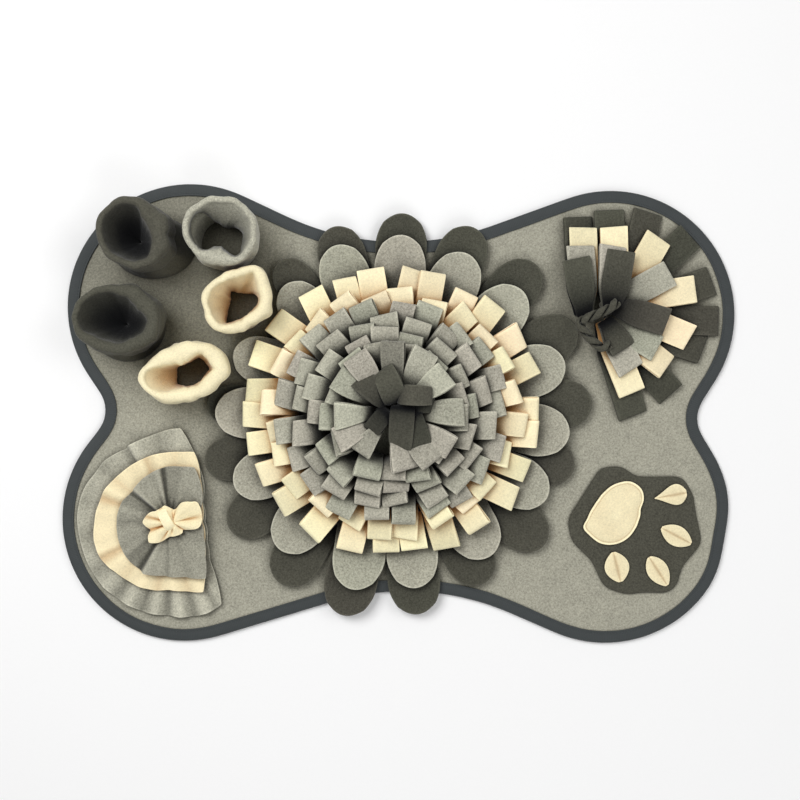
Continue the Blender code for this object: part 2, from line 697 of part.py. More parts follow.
def build_toe(toe, parent):
    """A leaf of fleece sewn down along its middle, so that both halves stand up beside the seam."""
    bm = bmesh.new()
    base = PANEL_THICKNESS + GAP + PATCH_THICKNESS + GAP
    turn = math.radians(toe.turn)
    bulge = math.log(0.5) / math.log(toe.widest)
    lanes = ((-1, 0), (-0.5, 1), (0, 0), (0.5, 1), (1, 0))

    def place(along, across, height):
        x = along * math.cos(turn) - across * math.sin(turn)
        y = along * math.sin(turn) + across * math.cos(turn)
        return bm.verts.new((toe.x + x, toe.y + y, height))

    rows = []
    for share in TOE_STATIONS:
        swell = math.sin(math.pi * share**bulge)
        half = toe.width / 2 * swell**TOE_FULLNESS
        along = (share - 0.5) * toe.length
        rows.append([
            place(along, side * half, base + TOE_CROWN * crown * swell) for side, crown in lanes
        ])
    ends = [place(sign * toe.length / 2, 0, base) for sign in (-1, 1)]
    for low, high in zip(rows, rows[1:]):
        for k in range(len(lanes) - 1):
            bm.faces.new((low[k], high[k], high[k + 1], low[k + 1]))
    for end, row in ((ends[0], rows[0]), (ends[1], rows[-1])):
        for k in range(len(lanes) - 1):
            bm.faces.new((end, row[k], row[k + 1]))
    obj = mesh_object(toe.name, bm, "cream", parent)
    if obj.data.polygons[0].normal.z < 0:
        obj.data.flip_normals()
    add_thickness(obj, FLEECE)


def main():
    clear_scene()
    mat = bpy.data.objects.new("snuffle_mat", None)
    bpy.context.scene.collection.objects.link(mat)
    build_panel(mat)
    build_binding(mat)
    build_flower("petals_dark", DARK_PETALS, DARK_DISC, dark_height, "charcoal", mat)
    build_flower("petals_light", LIGHT_PETALS, LIGHT_DISC, light_height, "light_grey", mat)
    for seed, (ring, profile) in enumerate(zip(RINGS, ring_profiles())):
        build_ring(ring, profile, seed, mat)
    for fan in FANS:
        build_fan(fan, mat, HALF_TUFT)
    build_tie(mat)
    for flap in FLAPS:
        build_flap(flap, mat)
    build_fan(BOW, mat, FAN_POCKET)
    for tube in TUBES:
        build_tube(tube, mat)
    build_patch(mat)
    build_pad(mat)
    for toe in TOES:
        build_toe(toe, mat)


main()
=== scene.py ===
"""Snuffle mat of polar fleece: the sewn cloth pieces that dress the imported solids.

Run it as a script in Blender. Lengths are in metres in the frame of the solids: the mat lies on
z = 0, its length runs along X, and each operator below makes one group of its pieces.
"""

import math
import random
from collections import namedtuple

import bmesh
import bpy
from mathutils import Matrix, Vector, noise


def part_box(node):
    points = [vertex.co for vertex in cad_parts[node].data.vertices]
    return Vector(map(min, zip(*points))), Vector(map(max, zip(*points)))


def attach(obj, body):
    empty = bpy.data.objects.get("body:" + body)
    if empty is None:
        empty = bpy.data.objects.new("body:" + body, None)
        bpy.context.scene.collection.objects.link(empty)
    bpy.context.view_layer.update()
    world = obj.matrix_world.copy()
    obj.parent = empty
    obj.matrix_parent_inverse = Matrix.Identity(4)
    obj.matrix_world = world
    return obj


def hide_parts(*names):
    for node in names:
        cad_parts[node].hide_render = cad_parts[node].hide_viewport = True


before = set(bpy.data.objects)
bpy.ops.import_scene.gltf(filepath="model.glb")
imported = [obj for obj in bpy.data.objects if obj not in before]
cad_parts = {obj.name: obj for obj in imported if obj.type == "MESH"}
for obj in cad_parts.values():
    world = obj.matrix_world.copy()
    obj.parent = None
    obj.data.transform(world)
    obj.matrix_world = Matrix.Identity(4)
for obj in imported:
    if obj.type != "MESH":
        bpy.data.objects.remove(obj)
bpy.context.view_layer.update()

bl_info = {
    "name": "Snuffle mat",
    "version": (1, 0, 0),
    "blender": (4, 5, 0),
    "location": "View3D > Sidebar > Snuffle Mat",
    "description": "Fleece snuffle mat with a looped rosette, tube pockets, a fan pocket and a paw",
    "category": "Add Mesh",
}

MM = 0.001
UP = Vector((0, 0, 1))


def linear(hex_colour):
    """Linear RGB of an sRGB hex colour such as "#a4a295"."""
    channels = [int(hex_colour[i:i + 2], 16) / 255 for i in (1, 3, 5)]
    return [c / 12.92 if c <= 0.04045 else ((c + 0.055) / 1.055) ** 2.4 for c in channels]


# --- What a user may change ---------------------------------------------------------------------
def length_property(name, description, default):
    return bpy.props.FloatProperty(
        name=name, description=description, default=default, min=0, precision=4,
        subtype="DISTANCE", unit="LENGTH")


def colour_property(name, description, hex_colour):
    return bpy.props.FloatVectorProperty(
        name=name, description=description, default=linear(hex_colour), size=3, min=0, max=1,
        subtype="COLOR")


class SNUFFLE_PG_cloth(bpy.types.PropertyGroup):
    """Thickness and cut of the cloth."""

    fleece: length_property("Fleece", "Thickness of one layer of fleece", 1.6 * MM)
    panel: length_property("Panel", "Thickness of the ground panel", 3.0 * MM)
    tape: length_property("Tape", "Thickness of the binding tape", 1.0 * MM)
    strip: length_property("Strip width", "Width that every strip is cut to", 25 * MM)
    # The paler line along a cut edge is partly a painted highlight.
    cut_edge: length_property("Cut edge", "Width of the paler line along a cut edge", 1.2 * MM)
    stitch: length_property("Stitch", "Pitch of the stitches along the binding", 3.4 * MM)


class SNUFFLE_PG_shape(bpy.types.PropertyGroup):
    """How far the soft pieces stray, curl and swell."""

    seed: bpy.props.IntProperty(
        name="Seed", description="Start of every random draw", default=4, min=0)
    stray_turn: bpy.props.FloatProperty(
        name="Stray turn", description="Most that a loop turns out of line",
        default=math.radians(14), min=0, subtype="ANGLE", unit="ROTATION")
    stray_roll: bpy.props.FloatProperty(
        name="Stray roll", description="Most that a loop rolls about its length",
        default=math.radians(17), min=0, subtype="ANGLE", unit="ROTATION")
    stray_length: length_property("Stray length", "Most that a loop is longer or shorter", 4.6 * MM)
    fold: length_property("Fold", "Room between the two leaves at a loop's fold", 4.0 * MM)
    petal_curl: length_property("Petal curl", "Rise of a petal's cut edge", 1.3 * MM)
    rim_roll: length_property("Rim roll", "Height of the roll at a tube's rim", 13 * MM)


class SNUFFLE_PG_colours(bpy.types.PropertyGroup):
    """Colours of the cloths and of the floor."""

    ground_grey: colour_property("Ground", "Fleece of the ground panel", "#a4a294")
    binding_slate: colour_property("Binding", "Woven tape round the edge", "#34393a")
    light_grey: colour_property("Light grey", "Fleece of loops, petals and flaps", "#b1afa0")
    charcoal: colour_property("Charcoal", "Fleece of dark petals, loops and tubes", "#4f4e45")
    cream: colour_property("Cream", "Fleece of cream loops, tubes and paw pads", "#faefc9")
    floor: colour_property("Floor", "Floor and surroundings", "#fbfbfb")


def cloth():
    return bpy.context.scene.snuffle_cloth


def shape():
    return bpy.context.scene.snuffle_shape


def colours():
    return bpy.context.scene.snuffle_colours


# --- Materials ----------------------------------------------------------------------------------
MIX_FACTOR, MIX_A, MIX_B, MIX_COLOUR = 0, 6, 7, 2  # sockets of a Mix node that mixes colours


def plug(tree, node, sockets):
    """Gives each of these inputs, by name or number, its value or the output that it takes."""
    for name, value in sockets.items():
        if isinstance(value, bpy.types.NodeSocket):
            tree.links.new(value, node.inputs[name])
        else:
            node.inputs[name].default_value = value


def add_node(tree, kind, sockets=None, **settings):
    node = tree.nodes.new(kind)
    for name, value in settings.items():
        setattr(node, name, value)
    plug(tree, node, sockets or {})
    return node


def start_material(name):
    material = bpy.data.materials.new(name)
    material.use_nodes = True
    tree = material.node_tree
    return material, tree, tree.nodes["Principled BSDF"]


def weigh(tree, terms, start):
    """Sum of outputs times weights, on top of a start value."""
    total = start
    for output, weight in terms:
        total = add_node(tree, "ShaderNodeMath", {0: output, 1: weight, 2: total},
                         operation="MULTIPLY_ADD").outputs[0]
    return total


def tinted(colour, red, green, blue):
    return (colour[0] * red, colour[1] * green, colour[2] * blue, 1)


# Tone makes a piece paler or darker, at random and in places as painted shade or highlight. Edge
# marks a cut edge, painted paler partly for its paler fibres and partly as a painted highlight.
# Warmth is a random hue, and shade is painted shade.
CLOTH_LAYERS = ("tone", "edge", "warmth", "shade")
# Deep is the colour of the painted shade in folds and hollows. Grain is how coarse the nap looks,
# which also sets how strong the painted shade and the paler cut edge are. Reach is how near other
# cloth has to be to paint shade on it, and bloom the light that the nap's tips catch.
Fleece = namedtuple("Fleece", "name deep grain reach bloom")
FLEECES = {
    "ground_grey": Fleece("polar_fleece_sheared_mid_grey", "#4b493e", 0.9, 60 * MM, 0.30),
    "light_grey": Fleece("polar_fleece_sheared_light_grey", "#4a4941", 1.0, 26 * MM, 0.30),
    "charcoal": Fleece("polar_fleece_sheared_charcoal", "#0c0d0f", 1.0, 26 * MM, 0.14),
    "cream": Fleece("polar_fleece_sheared_cream", "#b5844e", 0.30, 22 * MM, 0.30),
}


def polar_fleece(fleece, colour):
    """Polar fleece: polyester knit, raised and sheared. It is matt with a faint bloom, softly
    clouded, grained by its felted nap, and paler and fuzzier along a cut edge, where a painted
    highlight also stands for the light that the fuzz catches. Painted shade turns it to its deep
    colour in folds and hollows, where its shade attribute says so and where ambient occlusion finds
    other cloth within its reach."""
    material, tree, shader = start_material(fleece.name)
    place = add_node(tree, "ShaderNodeTexCoord").outputs["Object"]
    clouds = add_node(tree, "ShaderNodeTexNoise", {
        "Vector": place, "Scale": 1 / (14 * MM), "Detail": 2.0}).outputs["Fac"]
    tufts = add_node(tree, "ShaderNodeTexNoise", {  # nap tufts are 1 mm, drawn at 2 mm to show
        "Vector": place, "Scale": 1 / (1.8 * MM), "Detail": 2.0, "Roughness": 0.6}).outputs["Fac"]
    fibres = add_node(tree, "ShaderNodeTexNoise", {
        "Vector": place, "Scale": 1 / (0.8 * MM), "Detail": 2.0, "Roughness": 0.7}).outputs["Fac"]
    tone, edge, warmth, shade = [
        add_node(tree, "ShaderNodeAttribute", attribute_name=kind).outputs["Fac"]
        for kind in CLOTH_LAYERS
    ]
    unshaded = add_node(tree, "ShaderNodeMix", {
        MIX_FACTOR: weigh(tree, [(warmth, 0.5)], 0.5),
        MIX_A: tinted(colour, 0.975, 1.01, 0.96),
        MIX_B: tinted(colour, 1.03, 0.985, 1.0),
    }, data_type="RGBA").outputs[MIX_COLOUR]
    # Ambient occlusion and the shade attribute paint shade into the colour: the unshaded colour
    # turns towards the deep colour of painted shade near other cloth and where the shade attribute
    # asks for it.
    clear = add_node(
        tree, "ShaderNodeAmbientOcclusion", {"Distance": fleece.reach}, samples=6).outputs["AO"]
    open_air = add_node(tree, "ShaderNodeMapRange", {
        "Value": clear, "From Min": 0.12, "From Max": 0.62 + 0.22 * fleece.grain,
    }).outputs["Result"]
    lit = add_node(tree, "ShaderNodeMath", {0: open_air, 1: shade}, operation="SUBTRACT",
                   use_clamp=True).outputs[0]
    body = add_node(tree, "ShaderNodeMix", {
        MIX_FACTOR: lit, MIX_A: (*linear(fleece.deep), 1), MIX_B: unshaded,
    }, data_type="RGBA").outputs[MIX_COLOUR]
    spread = [(clouds, 0.22), (tufts, 1.30 * fleece.grain), (fibres, 1.05 * fleece.grain)]
    even = 1 - sum(weight for _, weight in spread) / 2
    # Clouds, tufts and fibres vary the colour at random. The cut edge is painted paler, partly for
    # its paler fibres and partly as a painted highlight.
    value = weigh(tree, [*spread, (tone, 0.12), (edge, 0.12 + 0.36 * fleece.grain)], even)
    height = weigh(tree, [(tufts, 0.65), (fibres, 0.5), (clouds, 0.6)], 0.0)
    plug(tree, shader, {
        "Base Color": add_node(tree, "ShaderNodeHueSaturation", {
            "Color": body, "Value": value}).outputs["Color"],
        "Roughness": 0.95,
        "Specular IOR Level": 0.15,
        "Sheen Weight": fleece.bloom,
        "Sheen Roughness": 0.45,
        "Normal": add_node(tree, "ShaderNodeBump", {
            "Height": height, "Strength": 0.55, "Distance": 0.9 * MM}).outputs["Normal"],
    })
    return material


def woven_tape(name, colour):
    """Polyester binding tape, woven in fine ribs across its length. It is smoother and a little
    shinier than the fleece, and its ribs catch the light along the edge."""
    material, tree, shader = start_material(name)
    route = add_node(tree, "ShaderNodeUVMap", uv_map="along").outputs["UV"]
    rib = 1.7 * MM  # real ribs are 0.8 mm, drawn coarser to show
    ribs = add_node(tree, "ShaderNodeTexWave", {
        "Vector": route, "Scale": 1 / (rib * 20 / math.tau), "Distortion": 0.6,
        "Detail": 1.0}, wave_type="BANDS", bands_direction="X").outputs["Fac"]
    place = add_node(tree, "ShaderNodeTexCoord").outputs["Object"]
    wear = add_node(tree, "ShaderNodeTexNoise", {
        "Vector": place, "Scale": 1 / (11 * MM), "Detail": 3.0}).outputs["Fac"]
    value = weigh(tree, [(ribs, 0.16), (wear, 0.30)], 0.80)
    plug(tree, shader, {
        "Base Color": add_node(tree, "ShaderNodeHueSaturation", {
            "Color": (*colour, 1), "Value": value}).outputs["Color"],
        "Roughness": 0.68,
        "Sheen Weight": 0.10,
        "Normal": add_node(tree, "ShaderNodeBump", {
            "Height": ribs, "Strength": 0.35, "Distance": 0.3 * MM}).outputs["Normal"],
    })
    return material


def spun_thread(name, colour):
    """Spun polyester sewing thread in the tape's colour: a tight twist with a dull gloss."""
    material, tree, shader = start_material(name)
    place = add_node(tree, "ShaderNodeTexCoord").outputs["Object"]
    fluff = add_node(tree, "ShaderNodeTexNoise", {
        "Vector": place, "Scale": 1 / (0.5 * MM)}).outputs["Fac"]
    shade = add_node(tree, "ShaderNodeHueSaturation", {
        "Color": (*colour, 1), "Value": weigh(tree, [(fluff, 0.5)], 1.05)})
    plug(tree, shader, {"Base Color": shade.outputs["Color"], "Roughness": 0.55})
    return material


def studio_paper(name, colour):
    """Matt white background paper, rolled out seamless: it only gives back soft light."""
    material, tree, shader = start_material(name)
    place = add_node(tree, "ShaderNodeTexCoord").outputs["Object"]
    grain = add_node(tree, "ShaderNodeTexNoise", {
        "Vector": place, "Scale": 1 / (3 * MM), "Detail": 3.0}).outputs["Fac"]
    shade = add_node(tree, "ShaderNodeHueSaturation", {
        "Color": (*colour, 1), "Value": weigh(tree, [(grain, 0.02)], 0.99)})
    plug(tree, shader, {"Base Color": shade.outputs["Color"], "Roughness": 0.9})
    return material


def material_of(slot):
    """The material of a slot, made the first time it is asked for."""
    fleece = FLEECES.get(slot)
    name = fleece.name if fleece else "woven_polyester_tape_slate"
    found = bpy.data.materials.get(name)
    if found:
        return found
    colour = getattr(colours(), slot)
    return polar_fleece(fleece, colour) if fleece else woven_tape(name, colour)


# --- Building blocks ----------------------------------------------------------------------------
def new_cloth():
    """A mesh whose points carry the tone, cut edge, warmth and shade that the fleece reads."""
    bm = bmesh.new()
    for kind in CLOTH_LAYERS:
        bm.verts.layers.float.new(kind)
    return bm


def paint(bm, verts, **values):
    for kind, value in values.items():
        layer = bm.verts.layers.float[kind]
        for vert in verts:
            vert[layer] = value


def grid(bm, rows, columns):
    """A flat grid of quads, returned as rows of points to be moved into place."""
    made = bmesh.ops.create_grid(bm, x_segments=columns - 1, y_segments=rows - 1, size=1)
    verts = sorted(made["verts"], key=lambda v: (round(v.co.y, 5), round(v.co.x, 5)))
    return [verts[i * columns:(i + 1) * columns] for i in range(rows)]


def extrude_ring(bm, row):
    """Extrudes the ring of edges through a row of points and returns the new points."""
    old = set(row)
    edges = dict.fromkeys(
        edge for vert in row for edge in vert.link_edges if edge.other_vert(vert) in old)
    made = bmesh.ops.extrude_edge_only(bm, edges=list(edges))["geom"]
    return [item for item in made if isinstance(item, bmesh.types.BMVert)]


def skin(bm, sections):
    """Joins closed loops of points, all of one length, and returns them as rows of points."""
    row = bmesh.ops.create_circle(bm, segments=len(sections[0]), radius=1)["verts"]
    rows = [row]
    for _ in sections[1:]:
        fresh = set(extrude_ring(bm, row))
        row = [
            next(e.other_vert(vert) for e in vert.link_edges if e.other_vert(vert) in fresh)
            for vert in row
        ]
        rows.append(row)
    for row, section in zip(rows, sections):
        for vert, point in zip(row, section):
            vert.co = point
    return rows


def close_to_point(bm, row, point):
    """Closes a ring of points by drawing it together."""
    bmesh.ops.pointmerge(bm, verts=extrude_ring(bm, row), merge_co=point)


def closed_sheet(sections, centre):
    """Cloth through closed sections, with the last of them drawn together at a centre."""
    bm = new_cloth()
    rows = skin(bm, sections)
    close_to_point(bm, rows[-1], centre)
    return bm, rows


def lay_uv(bm, rows, across, along):
    """Gives a skin a UV map in metres: U along its rows and V from row to row."""
    layer = bm.loops.layers.uv.new("along")
    count = len(rows[0])
    where = {vert: (i, k) for k, row in enumerate(rows) for i, vert in enumerate(row)}
    for face in bm.faces:
        wraps = {0, count - 1} <= {where[loop.vert][0] for loop in face.loops}
        for loop in face.loops:
            i, k = where[loop.vert]
            u = along[count] if wraps and i == 0 else along[i]
            loop[layer].uv = (u, across[k])


def make_piece(name, bm, slot, node=None, thickness=0, material=None):
    """Turns a mesh into a piece of the mat. One that stands for a node of the frame is softened,
    and a sheet first gets its thickness, half on each side."""
    bmesh.ops.recalc_face_normals(bm, faces=bm.faces)
    mesh = bpy.data.meshes.new(name)
    bm.to_mesh(mesh)
    bm.free()
    mesh.shade_smooth()
    mesh.materials.append(material or material_of(slot))
    piece = bpy.data.objects.new(name, mesh)
    bpy.context.scene.collection.objects.link(piece)
    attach(piece, "root")
    if thickness:
        body = piece.modifiers.new("cloth", "SOLIDIFY")
        body.thickness = thickness
        body.offset = 0
    if node:
        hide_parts(node)
        soft = piece.modifiers.new("soft", "SUBSURF")
        soft.levels = soft.render_levels = 1
    return piece


def smooth_route(points, parts):
    """Catmull-Rom curve through the points, with so many parts between two of them."""
    route = []
    for i in range(len(points) - 1):
        start, end = points[i], points[i + 1]
        before = points[i - 1] if i else 2 * start - end
        after = points[i + 2] if i + 2 < len(points) else 2 * end - start
        for k in range(parts):
            t = k / parts
            route.append(0.5 * (2 * start + (end - before) * t
                                + (2 * before - 5 * start + 4 * end - after) * t**2
                                + (3 * start - before - 3 * end + after) * t**3))
    return route + [points[-1]]


def interpolate(table, x):
    """Straight-line reading of a table of (x, y) rows, held level past both ends."""
    if x <= table[0][0]:
        return table[0][1]
    for (x0, y0), (x1, y1) in zip(table, table[1:]):
        if x <= x1:
            return y0 + (y1 - y0) * (x - x0) / (x1 - x0)
    return table[-1][1]


def around(outline, degrees):
    """Straight-line reading of a closed outline of (degrees, millimetres) pairs, in metres."""
    (first, start), (last, end) = outline[0], outline[-1]
    return interpolate(((last - 360, end), *outline, (first + 360, start)), degrees % 360) * MM


def compass(degrees):
    """Level unit vector at an angle from +X."""
    angle = math.radians(degrees)
    return Vector((math.cos(angle), math.sin(angle), 0))


def clamp(t, low=0.0, high=1.0):
    return min(high, max(low, t))


def ease(t):
    """Smooth step from 0 to 1."""
    t = clamp(t)
    return t * t * (3 - 2 * t)


def apart(angle, other):
    """Signed difference of two angles in degrees, from -180 to 180."""
    return (angle - other + 180) % 360 - 180


def bell(x, spread):
    return math.exp(-((x / spread) ** 2))


def ripple(x, y, size, seed=0.0):
    """Smooth noise from about -1 to 1 with features of that size."""
    return noise.noise(Vector((x / size, y / size, seed * 7.3)))


Circle = namedtuple("Circle", "x y radius turn")  # turn is +1 round a lobe and -1 round a waist


def circles_of(rows):
    """Circles from rows of their centre and radius in millimetres and their turn."""
    return [Circle(x * MM, y * MM, radius * MM, turn) for x, y, radius, turn in rows]


def belt(circles, step):
    """Points and outward normals of the closed outline that runs round each circle in turn and
    straight from one to the next, counter-clockwise."""
    headings = []
    for here, after in zip(circles, circles[1:] + circles[:1]):
        across = Vector((after.x - here.x, after.y - here.y))
        tilt = (after.turn * after.radius - here.turn * here.radius) / across.length
        headings.append(math.atan2(across.y, across.x) - math.asin(tilt))
    outline = []
    for i, circle in enumerate(circles):
        swept = (headings[i] - headings[i - 1]) * circle.turn % math.tau
        steps = max(2, round(swept / step))
        for k in range(steps + 1):
            heading = headings[i - 1] + circle.turn * swept * k / steps
            outward = Vector((math.sin(heading), -math.cos(heading)))
            centre = Vector((circle.x, circle.y))
            outline.append((centre + outward * circle.radius * circle.turn, outward))
    return outline


def even_outline(circles, spacing):
    """The belt's outline with its points an even way apart."""
    outline = belt(circles, math.radians(3))
    closed = outline + outline[:1]
    total = sum((b[0] - a[0]).length for a, b in zip(closed, closed[1:]))
    count = round(total / spacing)
    points, walked, k = [], 0.0, 0
    for i in range(count):
        target = total * i / count
        while True:
            (start, start_out), (end, end_out) = closed[k], closed[k + 1]
            stride = (end - start).length
            if walked + stride >= target and stride > 0:
                break
            walked += stride
            k += 1
        t = (target - walked) / stride
        points.append((start.lerp(end, t), start_out.lerp(end_out, t).normalized()))
    return points, total


def inset(outline, distance, height):
    """The outline moved in by a distance, as a level section."""
    return [Vector((*(point - outward * distance), height)) for point, outward in outline]


def draw_in(sections, centre, shares, height):
    """Adds sections that lie at these shares of the way from a centre to the last section. Height
    gives that of a flat point."""
    inner = sections[-1]
    for share in shares:
        flats = [centre.lerp(point.to_2d(), share) for point in inner]
        sections.append([Vector((*flat, height(flat))) for flat in flats])


# --- Strips folded in two -----------------------------------------------------------------------
Look = namedtuple("Look", "tone warmth shade")
Lie = namedtuple("Lie", "roll drift fold camber slant")  # each is set out in add_strip
FOLD_TURNS = (60, 0, -60)  # degrees round the fold
LEAF_GAP = 0.2 * MM  # between a strip's two leaves at its root
ROOT_SHADE = 0.95  # painted shade towards a strip's root, where the cloth over it shades it


def look_of(chance):
    return Look(chance.uniform(-1, 1), chance.uniform(-1, 1), chance.uniform(0, 0.12))


def lie_of(chance, fold):
    """How a hand-cut strip lies: fold is the most room there is at its fold."""
    return Lie(
        roll=chance.uniform(-1, 1) * shape().stray_roll,
        drift=chance.uniform(-1.5, 1.5) * MM,
        fold=fold * chance.uniform(0.5, 1.0),
        camber=chance.uniform(-1.0, 0.3) * MM,
        slant=chance.uniform(-0.09, 0.09),
    )


def add_strip(bm, place, spine, halves, lie, look):
    """Adds a strip folded in two. Spine runs from root to fold in the strip's own plane, with x
    outward and z up, halves are the strip's half widths along it, and place stands it up. Towards
    its fold the strip rolls over, drifts aside, opens, cups its edges and ends aslant."""
    count = len(spine)
    leaves = []
    for k, point in enumerate(spine):
        t = k / (count - 1)
        along = (spine[min(k + 1, count - 1)] - spine[max(k - 1, 0)]).normalized()
        left = Vector((0, 1, 0))
        face = along.cross(left)
        side = left * math.cos(lie.roll * t) + face * math.sin(lie.roll * t)
        face = along.cross(side)
        side = side + along * lie.slant * t**2
        room = cloth().fleece + LEAF_GAP + (lie.fold - LEAF_GAP) * ease(t) ** 2
        leaves.append((point + left * lie.drift * t**2, along, side, face, room / 2, halves[k]))
    lines = [(c + face * gap, side, face, half) for c, _, side, face, gap, half in leaves]
    centre, along, side, face, gap, half = leaves[-1]
    for turn in FOLD_TURNS:
        out = along * math.cos(math.radians(turn)) + face * math.sin(math.radians(turn))
        lines.append((centre + out * gap, side, face, half))
    lines += [(c - face * gap, side, face, half) for c, _, side, face, gap, half in leaves[::-1]]
    rows = grid(bm, len(lines), 5)
    walk = [k / (count - 1) for k in range(count)]
    walk += [1.0] * len(FOLD_TURNS) + walk[::-1]
    for row, t, (middle, side, face, half) in zip(rows, walk, lines):
        trim = 1 - cloth().cut_edge / half
        for vert, share in zip(row, (-1, -trim, 0, trim, 1)):
            vert.co = place @ (middle + side * half * share + face * lie.camber * share**2)
        # Both cut edges are painted paler, partly as a painted highlight, and painted shade grows
        # towards the root.
        paint(bm, (row[0], row[-1]), edge=1.0)
        paint(bm, row, tone=look.tone, warmth=look.warmth,
              shade=look.shade + ROOT_SHADE * (1 - ease(t)))


def standing_at(centre, azimuth, yaw=0.0, pivot=0.0):
    """Matrix that stands a strip at a centre, pointing to an azimuth and turned about a point
    out along it."""
    turned = Matrix.Translation(centre) @ Matrix.Rotation(azimuth, 4, "Z")
    hinge = Matrix.Translation((pivot, 0, 0))
    return turned @ hinge @ Matrix.Rotation(yaw, 4, "Z") @ hinge.inverted()


# --- Ground panel and binding -------------------------------------------------------------------
MAT_OUTLINE = circles_of((
    (205.0, 95.5, 120.0, 1), (2.0, 423.0, 257.0, -1), (-201.0, 103.0, 119.0, 1),
    (-312.5, 3.0, 29.5, -1), (-206.5, -101.5, 118.5, 1), (7.0, -424.0, 252.0, -1),
    (199.5, -100.5, 121.5, 1), (317.5, -5.0, 29.0, -1),
))
DENT_AT, DENT, DENT_SIZE = Vector((0.3160, -0.1210)), 4.0 * MM, 30 * MM  # the edge is pulled in
TAPE_REACH = 12 * MM  # from the mat's edge in over the panel
PANEL_EASE = 6.5 * MM  # past the tape the panel comes down to the floor over this width
PANEL_HELD = 1.5 * MM  # the panel is gripped flat over this width inside the fold of the tape
PANEL_SHARES = (0.88, 0.74, 0.60, 0.45, 0.30, 0.15)
PANEL_SPACING, TAPE_SPACING = 14 * MM, 9 * MM  # between two points along the edge
PANEL_WAVE, PANEL_WAVE_SIZE = 0.5 * MM, 55 * MM
SEAM = TAPE_REACH - 2.2 * MM  # the stitches run this far from the edge
TAPE_WANDER, TAPE_WANDER_SIZE = 0.35 * MM, 30 * MM  # of the sewn edge
TAPE_PUCKER, TAPE_PUCKER_SIZE = 0.25 * MM, 14 * MM
STITCH_WIDE, STITCH_LONG, STITCH_HIGH = 0.30 * MM, 0.36, 0.26 * MM  # halves; long is for the pitch
STITCH_SINK = 0.15 * MM


def panel_top():
    return cloth().panel


def tape_top():
    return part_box("edge_binding")[1].z


def mat_outline(spacing):
    """The mat's outline and its length."""
    outline, total = even_outline(MAT_OUTLINE, spacing)
    return [
        (point - outward * DENT * bell((point - DENT_AT).length, DENT_SIZE), outward)
        for point, outward in outline
    ], total


def build_panel():
    """The ground panel, a sheet that is held off the floor by the tape folded round its edge."""
    outline, _ = mat_outline(PANEL_SPACING)
    middle = panel_top() / 2
    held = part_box("mat_panel")[1].z - middle
    edge = cloth().tape + SHEET_GAP
    sections = [inset(outline, distance, height) for distance, height in (
        (edge, held), (edge + PANEL_HELD, held), (TAPE_REACH, held),
        (TAPE_REACH + PANEL_EASE / 2, (held + middle) / 2), (TAPE_REACH + PANEL_EASE, middle))]
    draw_in(sections, Vector((0, 0)), PANEL_SHARES, lambda flat: middle + PANEL_WAVE * max(
        0, ripple(flat.x, flat.y, PANEL_WAVE_SIZE)))
    bm, _ = closed_sheet(sections, UP * middle)
    panel = make_piece("ground_panel", bm, "ground_grey", "mat_panel", cloth().panel)


def build_binding():
    """One tape folded round the panel's edge, its leaves sewn through with one row of stitches."""
    outline, total = mat_outline(TAPE_SPACING)
    half = cloth().tape / 2
    top, web = tape_top() - half, tape_top() / 2
    profile = (  # inset from the edge, height of the tape's middle
        (TAPE_REACH, top - 0.1 * MM), (TAPE_REACH - 1.0 * MM, top), (SEAM, top - 0.3 * MM),
        (TAPE_REACH - 4.0 * MM, top), (3.0 * MM, top), (1.3 * MM, top - 0.5 * MM),
        (half, web), (1.3 * MM, half + 0.5 * MM), (3.0 * MM, half),
        (TAPE_REACH - 4.0 * MM, half), (TAPE_REACH, half),
    )
    sections = []
    for distance, height in profile:
        row = []
        for i, (point, outward) in enumerate(outline):
            walk = total * i / len(outline)
            wander = TAPE_WANDER * ripple(walk, 0, TAPE_WANDER_SIZE) * (distance > SEAM)
            sunk = TAPE_PUCKER * abs(ripple(walk, distance, TAPE_PUCKER_SIZE, 2)) * (height > web)
            row.append(Vector((*(point - outward * (distance + wander)), height - sunk)))
        sections.append(row)
    bm = new_cloth()
    rows = skin(bm, sections)
    across = [0.0]
    for (x0, z0), (x1, z1) in zip(profile, profile[1:]):
        across.append(across[-1] + math.hypot(x1 - x0, z1 - z0))
    along = [total * i / len(outline) for i in range(len(outline) + 1)]
    lay_uv(bm, rows, across, along)
    tape = make_piece("binding_tape", bm, "binding_slate", "edge_binding", cloth().tape)
    build_stitches()


def build_stitches():
    """Lockstitches along the tape's inner edge."""
    outline, _ = mat_outline(cloth().stitch)
    bm = bmesh.new()
    for point, outward in outline:
        at = Vector((*(point - outward * SEAM), tape_top() - STITCH_SINK))
        place = (Matrix.Translation(at)
                 @ Matrix.Rotation(math.atan2(outward.y, outward.x), 4, "Z")
                 @ Matrix.Diagonal((STITCH_WIDE, cloth().stitch * STITCH_LONG, STITCH_HIGH, 1)))
        bmesh.ops.create_icosphere(bm, subdivisions=1, radius=1, matrix=place)
    thread = spun_thread("spun_polyester_thread_slate", colours().binding_slate)
    return make_piece("binding_stitches", bm, "binding_slate", material=thread)


class SNUFFLE_OT_ground(bpy.types.Operator):
    """Make the ground panel, the tape that binds its edge and the stitches of the tape"""

    bl_idname = "snuffle.ground"
    bl_label = "Ground and Binding"

    def execute(self, context):
        build_panel()
        build_binding()
        return {"FINISHED"}


# --- Rosette petals -----------------------------------------------------------------------------
ROSETTE = Vector((-0.0057, 0.0014, 0.0))
